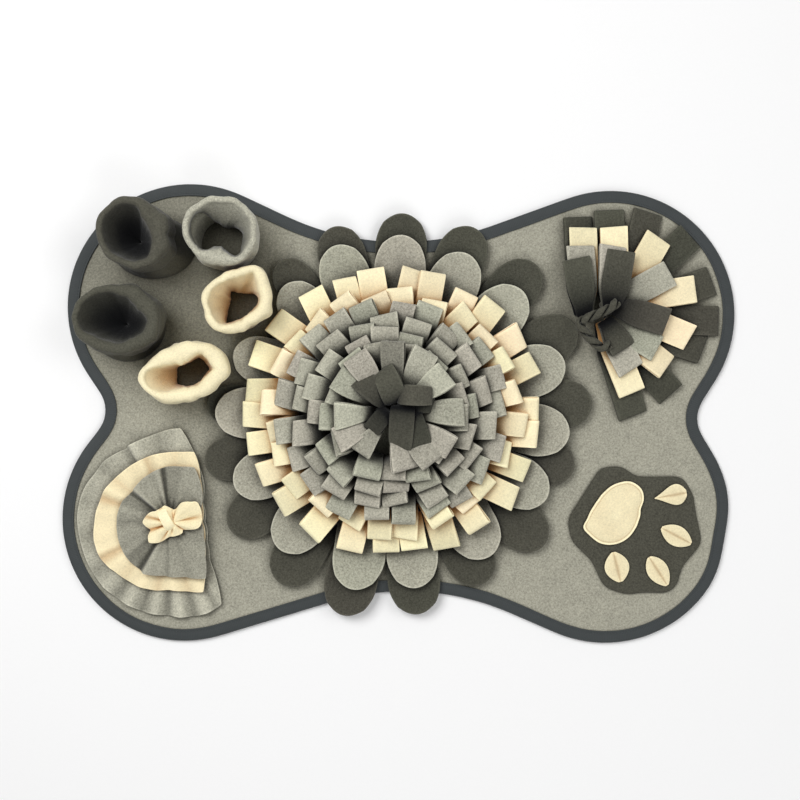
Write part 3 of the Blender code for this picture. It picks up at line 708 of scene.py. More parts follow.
# A petal's angle is in degrees. Its reach from the rosette's middle and its half width are in mm.
Petal = namedtuple("Petal", "angle reach half")
DARK_DISC, LIGHT_DISC = 128 * MM, 120 * MM  # the petals part outside these radii
DARK_PETALS = tuple(Petal(*row) for row in (
    (87.0, 191.5, 25.0), (107.9, 187.0, 23.5), (126.9, 181.0, 20.0), (143.5, 146.0, 15.0),
    (160.0, 163.0, 19.0), (177.5, 179.0, 19.5), (195.9, 187.0, 22.5), (216.2, 193.0, 24.0),
    (236.7, 197.0, 25.0), (256.3, 201.0, 25.5), (277.2, 196.0, 25.5), (297.9, 187.0, 24.0),
    (318.5, 194.0, 24.0), (342.2, 183.0, 24.0), (362.6, 192.0, 24.5), (384.7, 195.0, 24.5),
    (405.7, 198.0, 24.5), (426.2, 194.0, 25.0),
))
LIGHT_PETALS = tuple(Petal(*row) for row in (
    (87.0, 170.0, 25.0), (109.2, 169.0, 24.5), (130.8, 160.0, 23.5), (158.6, 163.0, 23.5),
    (180.3, 170.0, 25.0), (205.6, 167.5, 24.0), (230.4, 170.5, 25.5), (257.0, 174.0, 25.5),
    (277.8, 170.0, 25.0), (304.3, 167.0, 26.0), (331.0, 169.5, 25.0), (352.9, 171.0, 25.5),
    (376.3, 172.0, 25.5), (402.6, 170.5, 26.0), (424.6, 168.0, 25.5),
))
DARK_RISE = ((0.129, 0.0), (0.150, 2.8 * MM), (0.201, 6.1 * MM))  # radius, height over the panel
LAYER_GAP = 0.8 * MM
LIGHT_TIP = 174 * MM
LIGHT_CURL = 5.0 * MM  # how far a light petal's tip stands over a dark one
SHEET_GAP = 0.3 * MM  # between two sheets that lie on each other
PETAL_COLUMNS = (-1, -0.95, -0.66, -0.33, 0, 0.33, 0.66, 0.95, 1)
PETAL_POINT = 1.3  # length of a petal's round end for its half width
PETAL_STRAIGHT = 8 * MM  # the least that a petal runs out before its round end
PETAL_FILL = 0.88  # share of its box that a petal fills
PETAL_CREASE = 2.2 * MM
# Painted shade towards a petal's root under the loops, and along its crease.
PETAL_SHADE, CREASE_SHADE = 0.32, 0.22
PETAL_WAVE, PETAL_WAVE_SIZE = 0.5 * MM, 16 * MM
STRAIGHT_ROWS = (0.0, 0.33, 0.66)
ROUND_ROWS = (0.0, 0.25, 0.5, 0.75, 0.95, 1.0)
DISC_SHARES = (0.80, 0.55, 0.30)
MERGE_DISTANCE = 0.01 * MM


def dark_middle(radius):
    """Height of the middle of the dark layer's cloth."""
    return panel_top() + SHEET_GAP + interpolate(DARK_RISE, radius) + cloth().fleece / 2


def light_middle(radius):
    curl = max(0.0, (radius - LIGHT_DISC) / (LIGHT_TIP - LIGHT_DISC))
    return dark_middle(radius) + cloth().fleece + LAYER_GAP + LIGHT_CURL * curl**2


def petal_spot(k, u, disc, start, reach, half, spread):
    """A spot in a petal's own plane, with x outward, in a row and at a place across it from -1 to
    1, and how far out in the petal's round end it lies."""
    if k < len(STRAIGHT_ROWS):
        foot = Vector((disc * math.cos(spread * u), disc * math.sin(spread * u)))
        return foot.lerp(Vector((start, half * u)), STRAIGHT_ROWS[k]), 0.0
    v = ROUND_ROWS[k - len(STRAIGHT_ROWS)]
    across, along = u * math.sqrt(1 - v * v / 2), v * math.sqrt(1 - u * u / 2)
    return Vector((start + (reach - start) * along, half * across)), math.hypot(across, along)


def build_flower(name, petals, disc, height, slot, node):
    """A disc of fleece cut into round petals at its rim. Each petal's cut edge curls up."""
    chance = random.Random(shape().seed + len(petals))
    bm = new_cloth()
    spaces = [
        math.radians(after.angle - petal.angle) % math.tau
        for petal, after in zip(petals, petals[1:] + petals[:1])
    ]
    base = []
    area = math.pi * disc**2
    for i, petal in enumerate(petals):
        reach, half = petal.reach * MM, petal.half * MM
        area += 2 * half * (reach - disc) * PETAL_FILL
        start = max(disc + PETAL_STRAIGHT, reach - half * PETAL_POINT)
        rows = grid(bm, len(STRAIGHT_ROWS) + len(ROUND_ROWS), len(PETAL_COLUMNS))
        outward, left = compass(petal.angle), compass(petal.angle + 90)
        tilt, lean = chance.uniform(-1.0, 1.0) * MM, chance.uniform(-0.6, 1.0) * MM
        off, creased = chance.uniform(-0.3, 0.3), chance.uniform(0.3, 1.0) * PETAL_CREASE
        look = look_of(chance)
        for k, row in enumerate(rows):
            for vert, u in zip(row, PETAL_COLUMNS):
                spread = spaces[i if u > 0 else i - 1] / 2
                flat, out = petal_spot(k, u, disc, start, reach, half, spread)
                point = outward * flat.x + left * flat.y
                free = ease((flat.x - disc) / (reach - disc))
                curl = shape().petal_curl * (out**6 + 0.8 * abs(u) ** 3 * free)
                crease = creased * bell(u - off, 0.30) * (1 - free) * ease(free * 4)
                wave = PETAL_WAVE * ripple(point.x, point.y, PETAL_WAVE_SIZE, i)
                rise = height(point.length) + curl + free * (tilt * u + lean + wave) - crease
                vert.co = ROSETTE + point + UP * rise
            for vert, u in zip(row, PETAL_COLUMNS):
                # Painted shade towards the root and in the crease. The cut edges are painted paler,
                # partly as a painted highlight.
                dark = CREASE_SHADE * bell(u - off, 0.25) * (1 - free)
                paint(bm, (vert,), tone=0.5 * look.tone, warmth=0.6 * look.warmth,
                      shade=PETAL_SHADE * (1 - free) ** 1.3 + dark)
            if k:
                paint(bm, (row[0], row[-1]), edge=1.0)
        paint(bm, rows[-1], edge=1.0)
        base += rows[0]
    inner = set(base)
    rim = [edge for edge in bm.edges if inner.issuperset(edge.verts)]
    bmesh.ops.remove_doubles(bm, verts=base, dist=MERGE_DISTANCE)
    rim = [edge for edge in rim if edge.is_valid]
    for share in DISC_SHARES:
        made = bmesh.ops.extrude_edge_only(bm, edges=rim)["geom"]
        rim = [item for item in made if isinstance(item, bmesh.types.BMEdge) and item.is_boundary]
        for vert in {vert for edge in rim for vert in edge.verts}:
            flat = (vert.co - ROSETTE).to_2d().normalized() * disc * share
            vert.co = ROSETTE + Vector((*flat, height(disc * share)))
    made = bmesh.ops.extrude_edge_only(bm, edges=rim)["geom"]
    fresh = [item for item in made if isinstance(item, bmesh.types.BMVert)]
    bmesh.ops.pointmerge(bm, verts=fresh, merge_co=ROSETTE + UP * height(0))
    flower = make_piece(name, bm, slot, node, cloth().fleece)
    return flower, 2 * max(petal.reach for petal in petals) * MM, area


class SNUFFLE_OT_petals(bpy.types.Operator):
    """Make the two flower-cut layers under the rosette"""

    bl_idname = "snuffle.petals"
    bl_label = "Rosette Petals"

    def execute(self, context):
        dark, across, area = build_flower(
            "dark_petals", DARK_PETALS, DARK_DISC, dark_middle, "charcoal", "petals_dark")
        light, across, area = build_flower(
            "light_petals", LIGHT_PETALS, LIGHT_DISC, light_middle, "light_grey", "petals_light")
        return {"FINISHED"}


# --- Rosette rings ------------------------------------------------------------------------------
# Root and tip are radii. Knee and shoulder are shares of the way between them.
Ring = namedtuple("Ring", "name count root tip knee shoulder slot phase")
RINGS = (
    Ring("loops_cream_outer", 26, 0.104, 0.1410, 0.22, 0.62, "cream", 0.10),
    Ring("loops_cream_inner", 24, 0.092, 0.1210, 0.22, 0.62, "cream", 0.55),
    Ring("loops_grey_outer", 21, 0.080, 0.1075, 0.22, 0.62, "light_grey", 0.05),
    Ring("loops_grey_second", 18, 0.068, 0.0930, 0.22, 0.62, "light_grey", 0.60),
    Ring("loops_grey_third", 16, 0.056, 0.0790, 0.22, 0.62, "light_grey", 0.20),
    Ring("loops_grey_fourth", 13, 0.044, 0.0650, 0.22, 0.62, "light_grey", 0.70),
    Ring("loops_grey_inner", 12, 0.014, 0.0600, 0.20, 0.50, "light_grey", 0.0),
    Ring("loops_dark_centre", 7, 0.008, 0.0430, 0.04, 0.40, "charcoal", 0.15),
)
# The innermost grey loops spring unevenly: azimuth in degrees, how many millimetres further they
# reach, and their painted shade.
INNER_LOOPS = (
    (3, 4, 0.10), (28, 1, 0.0), (54, 6, 0.0), (87, 7, 0.55), (117, 4, 0.05), (150, 0, 0.15),
    (178, -8, 0.0), (204, -4, 0.10), (229, -13, 0.15), (276, -5, 0.0), (299, 1, 0.10),
    (326, 3, 0.0),
)
# Where a loop of the centre starts and ends, how high it lies and its half width, in millimetres,
# and its painted shade, which below zero is a painted highlight.
Centre = namedtuple("Centre", "root_x root_y x y lift half shade")
CENTRE_LOOPS = tuple(Centre(*[value * MM for value in row[:-1]], row[-1]) for row in (
    (16.0, 1.0, 28.0, -31.0, -3.0, 10.5, 0.22), (-4.0, 12.0, -29.0, 31.0, -2.5, 11.5, 0.10),
    (-4.0, 2.0, -21.0, -17.0, -6.0, 8.5, 0.40), (18.0, 9.0, 36.0, 10.0, -5.5, 9.5, 0.30),
    (9.5, 7.0, 7.0, -31.0, -1.5, 11.8, 0.12), (4.0, 10.0, -7.5, 37.5, 0.5, 11.8, -0.12),
    (6.0, 16.5, 34.0, 14.0, 4.0, 9.5, -0.30),
))
STRIP_THICKNESS = 1.5 * MM
HEADING_BASE = 3.0 * MM + 1.6 * MM + LAYER_GAP + 1.6 * MM + 2 * SHEET_GAP  # on the petal layers
HEADING_TOP = HEADING_BASE + 5.0 * MM  # a band is uncut below this
LOOP_ROOT = HEADING_BASE + 1.0 * MM
LOOP_SCATTER = 0.14  # of the space between two loops
LOOP_WIDTHS = (0.90, 1.06)
LOOP_FILL = 1.02  # of its room round the ring, near its root
LIFT_STRAY = 1.2  # millimetres
STAND_SHARES = (0, 0, 0.35, 1.0)  # how much of its stand a loop has at each point of its profile
OUTER_TIP_HEIGHT = 16 * MM
LOOP_REST = 5.0 * MM  # a ring's tips lie this far over the ring outside it,
LOOP_REST_GAIN = 0.45 * MM  # and this much more for each ring further in
LOOP_DROOP = 2.4 * MM
KNEE_RISE = 0.80
ALTERNATE_LIFT = 1.5 * MM  # every other loop lies this much higher than its neighbours
STAND = 8.0 * MM  # the most that a loop's tip stands up from its droop
STAND_RADIUS = 120 * MM  # rings further in stand up less
SQUASH = 0.05  # the rosette is this much shorter across the mat than along it


def ring_profiles():
    """For each ring, the radius and height of a loop's root, knee, shoulder and tip."""
    profiles = []
    tip_height = OUTER_TIP_HEIGHT
    for i, ring in enumerate(RINGS):
        if profiles:
            tip_height = interpolate(profiles[-1], ring.tip) + LOOP_REST + LOOP_REST_GAIN * i
        top = tip_height + LOOP_DROOP
        knee = HEADING_TOP + KNEE_RISE * (top - HEADING_TOP)
        profile = [(ring.root, HEADING_TOP)]
        for share, height in ((ring.knee, knee), (ring.shoulder, top), (1.0, tip_height)):
            profile.append((ring.root + share * (ring.tip - ring.root), height))
        profiles.append(profile)
    return profiles


def finish_strips(bm, name, slot, node):
    """Makes a piece of strips that are folded in two."""
    piece = make_piece(name, bm, slot, node, STRIP_THICKNESS)


def build_ring(ring, profile, chance):
    """A band of fleece folded in two, slit into loops and sewn down on edge in a circle."""
    bm = new_cloth()
    pitch = math.tau / ring.count
    for i in range(ring.count):
        azimuth = (i + ring.phase + chance.uniform(-LOOP_SCATTER, LOOP_SCATTER)) * pitch
        longer = chance.uniform(-1, 1) * shape().stray_length
        look = look_of(chance)
        if ring.slot == "cream":
            look = look._replace(shade=0.3 * look.shade)
        if ring.name == "loops_grey_inner":
            degrees, further, shade = INNER_LOOPS[i]
            azimuth, longer = math.radians(degrees), further * MM
            look = look._replace(shade=shade)
        lift = ALTERNATE_LIFT * (i % 2) + chance.uniform(0, LIFT_STRAY) * MM
        stand = chance.random() ** 2 * (1 - 0.4 * ease((STAND_RADIUS - ring.tip) / (60 * MM)))
        squash = 1 - SQUASH * math.sin(azimuth) ** 2
        points = [Vector((ring.root, 0, LOOP_ROOT))]
        for k, (radius, height) in enumerate(profile):
            out = (radius + (longer - STAND * 0.4 * stand) * k / 3) * squash
            up = STAND_SHARES[k] * STAND * stand
            points.append(Vector((out, 0, height + lift * k / 3 + up)))
        spine = smooth_route(points, 2)
        broad = cloth().strip / 2 * chance.uniform(*LOOP_WIDTHS)
        halves = [min(broad, LOOP_FILL * math.pi * p.x / ring.count) for p in spine]
        yaw = chance.uniform(-1, 1) * shape().stray_turn
        place = standing_at(ROSETTE, azimuth, yaw, ring.root)
        lie = lie_of(chance, shape().fold * (1 + stand))
        add_strip(bm, place, spine, halves, lie, look)
    finish_strips(bm, ring.name.replace("loops", "ring"), ring.slot, ring.name)


def build_centre(ring, profile, chance):
    """The loops that spring from the middle of the rosette and lie over one another."""
    bm = new_cloth()
    top = profile[2][1]
    for loop in CENTRE_LOOPS:
        root = ROSETTE + Vector((loop.root_x, loop.root_y, 0))
        way = ROSETTE + Vector((loop.x, loop.y, 0)) - root
        reach, high = way.length, top + loop.lift
        spine = smooth_route([Vector((reach * share, 0, z)) for share, z in (
            (0.0, LOOP_ROOT), (0.0, high - 14 * MM), (0.10, high - 4 * MM),
            (0.35, high), (0.75, high - 2 * MM), (1.0, high - 7 * MM))], 2)
        halves = [loop.half * (0.6 + 0.4 * ease((p.z - high) / (20 * MM) + 1)) for p in spine]
        place = standing_at(root, math.atan2(way.y, way.x))
        # Painted highlight: the centre's loops are painted paler all over for the light that they
        # catch on top of the rosette, and each takes its own painted shade.
        look = look_of(chance)._replace(tone=1.2, shade=loop.shade)
        add_strip(bm, place, spine, halves, lie_of(chance, shape().fold), look)
    finish_strips(bm, "ring_dark_centre", ring.slot, ring.name)


class SNUFFLE_OT_rosette(bpy.types.Operator):
    """Make the rosette's rings of folded loops, from the outer cream ring to the dark centre"""

    bl_idname = "snuffle.rosette"
    bl_label = "Rosette Loops"

    def execute(self, context):
        for seed, (ring, profile) in enumerate(zip(RINGS, ring_profiles())):
            build = build_centre if ring is RINGS[-1] else build_ring
            build(ring, profile, random.Random(shape().seed * 100 + seed))
        return {"FINISHED"}


# --- Half tuft ----------------------------------------------------------------------------------
HALF_TUFT = Vector((0.1947, 0.0922, 0.0))
# Side is how far to its left a strip is sewn from the middle of the tuft. Broad is how much wider
# than the loops a fan's strips are cut.
Strip = namedtuple("Strip", "angle reach side", defaults=(0.0,))
Fan = namedtuple("Fan", "name slot base tip_height broad strips")
FANS = (
    Fan("tuft_dark_outer", "charcoal", 3.6 * MM, 6.6 * MM, 1.16,
        (Strip(93, 0.0965, 0.0175), Strip(89, 0.1020, -0.0100), Strip(76, 0.1085, -0.0190),
         Strip(42, 0.1150), Strip(18, 0.1110), Strip(-2.3, 0.1115), Strip(-18.8, 0.1015),
         Strip(-46.4, 0.0985), Strip(-70.5, 0.0980))),
    Fan("tuft_cream", "cream", 8.6 * MM, 12.6 * MM, 1.06,
        (Strip(92, 0.0845, 0.0160), Strip(89, 0.0850, -0.0125), Strip(58, 0.0920, -0.0090),
         Strip(9, 0.0910, 0.0130), Strip(-22, 0.0840, 0.0140), Strip(-38, 0.0770),
         Strip(-67.5, 0.0765))),
    Fan("tuft_light", "light_grey", 13.8 * MM, 18.2 * MM, 1.06,
        (Strip(95, 0.0680, 0.0155), Strip(88, 0.0665, -0.0075), Strip(31, 0.0750, 0.0055),
         Strip(-27.5, 0.0590), Strip(-60, 0.0560))),
    Fan("tuft_dark_inner", "charcoal", 18.8 * MM, 23.8 * MM, 1.07,
        (Strip(100.5, 0.0570, 0.0170), Strip(82.8, 0.0630, -0.0065), Strip(-17.5, 0.0580, 0.0120),
         Strip(-57, 0.0350))),
)
FAN_ROOT = 3 * MM  # the strips are gathered to this radius
FAN_HUMP = 3.0 * MM
FAN_SHARES = (0.0, 0.2, 0.4, 0.7, 1.0)
FAN_STRAY = 0.03  # radians
GATHERED, WIDEN_REACH = 7.5 * MM, 30 * MM  # a strip's half width at its root, and how far it widens
FAN_FOLD = 2.2 * MM
TIE_ROUTE = tuple(Vector([value * MM for value in row]) for row in (
    (6.0, -26.5, 28.5), (-2.0, -29.5, 29.0), (-11.0, -23.5, 29.5), (-18.5, -15.0, 29.0),
    (-22.5, -6.0, 28.5), (-13.0, -0.5, 31.0), (-1.0, 4.5, 32.5), (7.0, 9.0, 31.5),
    (12.5, 13.5, 29.0),
))
TIE_TURN = 27 * MM  # the strands go once round each other in this length
TIE_SIDES = 10
TIE_SPREAD, TIE_THIN, TIE_WIDE = 2.4 * MM, 2.4 * MM, 4.0 * MM  # of a strand: off axis, halves


def build_fan(fan, chance):
    """Strips gathered at one end and spread from there."""
    bm = new_cloth()
    middle = fan.base + cloth().fleece
    cut = cloth().strip * fan.broad
    for strip in fan.strips:
        spine = smooth_route([Vector((
            FAN_ROOT + share * (strip.reach - FAN_ROOT), 0,
            middle + share * (fan.tip_height - middle) + 4 * share * (1 - share) * FAN_HUMP,
        )) for share in FAN_SHARES], 2)
        halves = [
            GATHERED + (cut / 2 - GATHERED) * ease((p.x - FAN_ROOT) / WIDEN_REACH) for p in spine]
        stray = chance.uniform(-FAN_STRAY, FAN_STRAY)
        place = standing_at(HALF_TUFT, math.radians(strip.angle), stray)
        place = place @ Matrix.Translation((0, strip.side, 0))
        lie, look = lie_of(chance, FAN_FOLD), look_of(chance)
        if fan is FANS[-1]:
            look = look._replace(tone=1.0)
        add_strip(bm, place, spine, halves, lie, look)
    finish_strips(bm, fan.name.replace("tuft", "fan"), fan.slot, fan.name)


def build_tie():
    """The strip that ties the half tuft down: two strands wound round each other."""
    route = smooth_route(TIE_ROUTE, 6)
    bm = new_cloth()
    for strand in (0, math.pi):
        sections, walked = [], 0.0
        for k, point in enumerate(route):
            before, after = route[max(k - 1, 0)], route[min(k + 1, len(route) - 1)]
            walked += (point - before).length
            along = (after - before).normalized()
            side = along.cross(UP).normalized()
            up = side.cross(along)
            twist = math.tau * walked / TIE_TURN + strand
            out = side * math.cos(twist) + up * math.sin(twist)
            over = up * math.cos(twist) - side * math.sin(twist)
            middle = HALF_TUFT + point + out * TIE_SPREAD
            turns = [math.tau * i / TIE_SIDES for i in range(TIE_SIDES)]
            sections.append([
                middle + out * TIE_THIN * math.cos(turn) + over * TIE_WIDE * math.sin(turn)
                for turn in turns
            ])
        rows = skin(bm, sections)
        for row, section in ((rows[0], sections[0]), (rows[-1], sections[-1])):
            close_to_point(bm, row, sum(section, Vector()) / TIE_SIDES)
    tie = make_piece("tuft_twisted_tie", bm, "charcoal", "tuft_tie")


class SNUFFLE_OT_half_tuft(bpy.types.Operator):
    """Make the half tuft: four fans of strips and the twisted strip that ties them"""

    bl_idname = "snuffle.half_tuft"
    bl_label = "Half Tuft"

    def execute(self, context):
        for seed, fan in enumerate(FANS):
            build_fan(fan, random.Random(shape().seed * 200 + seed))
        build_tie()
        return {"FINISHED"}


# --- Gathered fan pocket ------------------------------------------------------------------------
FAN_POCKET = Vector((-0.2187, -0.1029, 0.0))
# Rim and relief are (degrees, millimetres) pairs round the gather: how far a flap reaches, and how
# high it stands over the cloth below, where two close angles make a pleat. Grip is the power with
# which the relief grows from the gather to the rim. The flap is cut square at its two corners.
# Shade is the painted shade over all of it and sunk how much more painted shade lies in its
# valleys.
Flap = namedtuple("Flap", "name slot corners grip shade sunk rim relief")
FLAPS = (
    Flap("flap_outer", "light_grey", (84, 301), 2.6, 0.06, 0.52,
         ((31, 35.5), (60, 56.5), (74, 72.5), (84, 89.5), (91, 88), (106, 83.5), (120, 83),
          (122, 81.5), (138, 86.5), (150, 87.5), (166, 91), (195, 90.5), (224, 91.5), (255, 92),
          (269, 91.5), (276, 94), (285, 95.5), (293, 95.5), (301, 94.5), (308, 71.5), (314, 54),
          (330, 40), (359, 33)),
         ((0, 1), (70, 1), (84, 4), (92, 2), (99, 0.5), (108, 2.5), (119, 4.5), (121, 0.5),
          (131, 1.8), (143, 0.4), (154, 2.5), (167, 0.6), (179, 2.6), (190, 0.5), (203, 2.8),
          (214, 0.6), (225, 3.6), (234, 0.6), (243, 4.8), (252, 0.5), (260, 5.4), (267, 0.4),
          (275, 5.6), (283, 0.8), (291, 4.4), (297, 1.5), (301, 3), (320, 1))),
    Flap("flap_cream", "cream", (71, 295), 2.2, 0.16, 0.42,
         ((32, 35.5), (54, 49), (66, 64), (71, 70), (81, 67), (91, 66), (121, 65), (137, 66),
          (153, 70), (163, 71), (180, 72.5), (194, 75.5), (208, 77), (223, 72), (238, 70.5),
          (259, 68.5), (269, 66), (283, 70), (295, 75), (303, 61.5), (312, 50), (329, 38.5),
          (359, 31)),
         ((0, 1), (60, 1), (71, 3), (86, 1), (101, 3.2), (112, 0.8), (118, 3), (133, 3.4),
          (144, 1.6), (153, 3.6), (162, 0.2), (172, 3.0), (192, 4.2), (203, 3.6), (209, 0.2),
          (218, 3.4), (231, 1.4), (246, 3.6), (259, 0.6), (272, 3.4), (284, 1), (295, 3),
          (320, 1))),
    Flap("flap_inner", "light_grey", (65, 303), 0.6, 0.30, 0.72,
         ((23, 33), (53, 48.5), (65, 57), (78, 53.5), (93, 52.5), (114, 49), (140, 45.5),
          (159, 50), (178, 51), (193, 51.5), (207, 53.5), (227, 55), (245, 55), (265, 52),
          (287, 55.5), (303, 65), (316, 48), (335, 36), (359, 31)),
         ((0, 3), (30, 4), (60, 3.4), (82, 1.8), (96, 0.8), (99, 0.6), (101.5, 5.2), (110, 3.8),
          (122, 3.4), (133, 4.6), (138, 6.0), (140.5, 0.2), (152, 0.4), (166, 2.0), (180, 0.4),
          (196, 1.8), (210, 0.8), (226, 0.2), (240, 0.0), (243, 6.6), (252, 5.0), (266, 3.4),
          (275, 4.4), (290, 3.2), (300, 4), (330, 2.5))),
)
FLAP_THICKNESS = 1.7 * MM
FLAP_LEVEL = 2.4 * MM  # from one flap up to the next
FLAP_RIM_HEIGHT, FLAP_REACH = 3.2 * MM, 90 * MM
FLAP_CROWN = 6.5 * MM  # rise from the rim to the gather
FLAP_SHARES = (1.0, 0.985, 0.93, 0.82, 0.68, 0.54, 0.40, 0.27, 0.16, 0.07)
FLAP_WAVE, FLAP_WAVE_SIZE, RIM_WANDER = 0.8 * MM, 18 * MM, 0.012
# The first paints a highlight on the ridges of a flap's folds, the second scales how high its
# relief stands.
RIDGE_HIGHLIGHT, FOLD_RISE = 2.4, 1.35
FOLD_SPREADS = ((6, 2.0 * MM), (24, 5.0 * MM))  # degrees to both sides, depth of a full fold
GATHER_FOLDS, GATHER_DEPTH = 19, 1.1 * MM  # small folds that run out from the gather
GATHER_REACH, GATHER_START = 30 * MM, 12 * MM
# painted shade round the gather of the inner flap
GATHER_SHADE = 0.3


def flap_middle(flap, degrees, radius):
    """Height of the middle of a flap's cloth round the gather. A flap follows the relief of those
    below it."""
    x, y, _ = compass(degrees) * radius
    level = FLAPS.index(flap)
    height = FLAP_RIM_HEIGHT + FLAP_CROWN * (1 - min(1.0, radius / FLAP_REACH)) ** 1.5
    for below in FLAPS[:level + 1]:
        own = min(1.0, radius / around(below.rim, degrees))
        height += FOLD_RISE * around(below.relief, degrees) * own**below.grip
    drawn = math.sin(math.radians(degrees) * GATHER_FOLDS + 2.5 * ripple(x, y, 20 * MM, 9))
    height += GATHER_DEPTH * drawn * bell(radius, GATHER_REACH) * ease(radius / GATHER_START)
    height += level * FLAP_LEVEL + FLAP_WAVE * ripple(x, y, FLAP_WAVE_SIZE, level)
    return height + FLAP_THICKNESS / 2


def crease(flap, degrees, share):
    """How far a spot of a flap lies in a fold, from -1 on a ridge to 1 in a valley."""
    height = around(flap.relief, degrees)
    sunk = 0.0
    for spread, depth in FOLD_SPREADS:
        beside = (around(flap.relief, degrees - spread) + around(flap.relief, degrees + spread)) / 2
        sunk += clamp((beside - height) / depth, -1.0) * 0.6
    return clamp(sunk, -1.0) * min(1.0, 0.35 + share**flap.grip)


def flap_columns(flap):
    """Angles of the lines that run out over a flap, close together at its corners and pleats."""
    kept = {angle + side for angle in flap.corners for side in (-0.9, 0.0, 0.9)}
    kept = sorted(kept | {angle for angle, _ in flap.relief + flap.rim})
    for angle in range(0, 360, 4):
        if min(abs(apart(angle, other)) for other in kept) > 1.6:
            kept.append(angle)
    columns = []
    for angle in sorted(kept):
        if not columns or angle - columns[-1] > 0.6:
            columns.append(angle)
    return columns


def build_flap(flap):
    """A round of fleece cut off along a line beside its gather, with a wavy cut rim."""
    columns = flap_columns(flap)
    sections = []
    for share in FLAP_SHARES:
        row = []
        for degrees in columns:
            wavy = 1 + RIM_WANDER * share**4 * ripple(degrees, 0, 13, len(flap.name))
            radius = around(flap.rim, degrees) * share * wavy
            at = FAN_POCKET + compass(degrees) * radius
            row.append(at + UP * flap_middle(flap, degrees, radius))
        sections.append(row)
    bm, rows = closed_sheet(sections, FAN_POCKET + UP * flap_middle(flap, 0, 0))
    paint(bm, rows[0], edge=1.0)
    for share, row in zip(FLAP_SHARES, rows):
        # Painted shade over each flap, more in its valleys and round the inner flap's gather, and a
        # painted highlight on its ridges.
        gathered = GATHER_SHADE * bell(share, 0.4) * (flap is FLAPS[-1])
        for degrees, vert in zip(columns, row):
            sunk = crease(flap, degrees, share)
            paint(bm, (vert,), tone=-RIDGE_HIGHLIGHT * min(0.0, sunk),
                  shade=flap.shade + flap.sunk * max(0.0, sunk) + gathered)
    name = flap.name.replace("flap", "fan_flap")
    piece = make_piece(name, bm, flap.slot, flap.name, FLAP_THICKNESS)


# The bow is one crumpled strip. Its rim, and its heights half way out and at the rim, are
# (degrees, millimetres) pairs round the knot.
BOW_AT = Vector((0.0045, -0.0004, 0.0))  # from the gather
BOW_BASE = 21.0 * MM
BOW_RIM = (
    (7, 28.0), (18, 28.8), (36, 30.3), (42, 30.6), (48, 26.5), (57, 23.8), (68, 20.0), (75, 13.5),
    (90, 11.7), (104, 14.5), (117, 18.4), (130, 17.6), (149, 20.0), (153, 23.0), (166, 26.5),
    (180, 29.5), (190, 25.8), (199, 22.5), (208, 27.3), (220, 30.2), (236, 23.2), (248, 16.5),
    (256, 14.1), (285, 13.2), (311, 13.6), (322, 11.2), (337, 17.1), (345, 24.1), (353, 26.5),
)
BOW_FOLDS = (
    (0, 1.4), (12, -1.2), (24, 1.6), (50, 4.4), (68, 3.4), (80, 0.2), (96, 0.2), (116, 3.4),
    (128, 2.6), (135, 0.4), (148, 3.4), (160, 2.8), (168, 0.8), (182, 4.0), (192, 2.0), (199, -1.6),
    (207, 2.4), (218, 4.8), (230, 2.8), (238, 0.2), (250, 2.4), (262, -0.2), (285, 3.6), (305, 2.2),
    (322, -1.0), (338, 3.0), (350, 3.4),
)
BOW_EDGE = (
    (0, 2.0), (12, 1.4), (30, 3.0), (45, 4.0), (60, 3.4), (78, 0.6), (95, 0.4), (117, 2.8),
    (133, 0.8), (150, 3.0), (168, 0.8), (182, 2.4), (199, -1.0), (210, 2.0), (225, 3.2), (240, 0.6),
    (256, -0.2), (285, 1.8), (311, 0.8), (325, -1.0), (345, 2.8),
)
BOW_SHARES = (1.0, 0.96, 0.86, 0.74, 0.62, 0.50, 0.38, 0.26, 0.14)
BOW_KNOT = 2.2 * MM  # height of its middle over its base
BOW_THICKNESS = 1.4 * MM
BOW_STEP = 4  # degrees between two lines out over the bow
BOW_CRUMPLE, BOW_CRUMPLE_SIZE = 0.7 * MM, 9 * MM
BOW_SPREAD, BOW_DEPTH = 9, 1.5 * MM  # degrees to both sides, depth of a fold that takes the full painted shade
KNOT_WRAP = tuple((along * MM, z * MM) for along, z in (  # over the bow's middle, from its base
    (-11.0, -2.0), (-9.0, 3.5), (-4.0, 6.2), (3.0, 6.2), (8.0, 3.5), (10.5, -2.0),
))
KNOT_AT, KNOT_TURN, KNOT_HALF = Vector((-0.0020, 0.0026, 0.0)), 118, 4.8 * MM


def bow_height(degrees, share):
    """Height of the bow's cloth over its base, from the knot at 0 to its rim at 1."""
    folds, edge = around(BOW_FOLDS, degrees), around(BOW_EDGE, degrees)
    if share < 0.5:
        return BOW_KNOT + (folds - BOW_KNOT) * ease(share * 2)
    return folds + (edge - folds) * ease(share * 2 - 1)


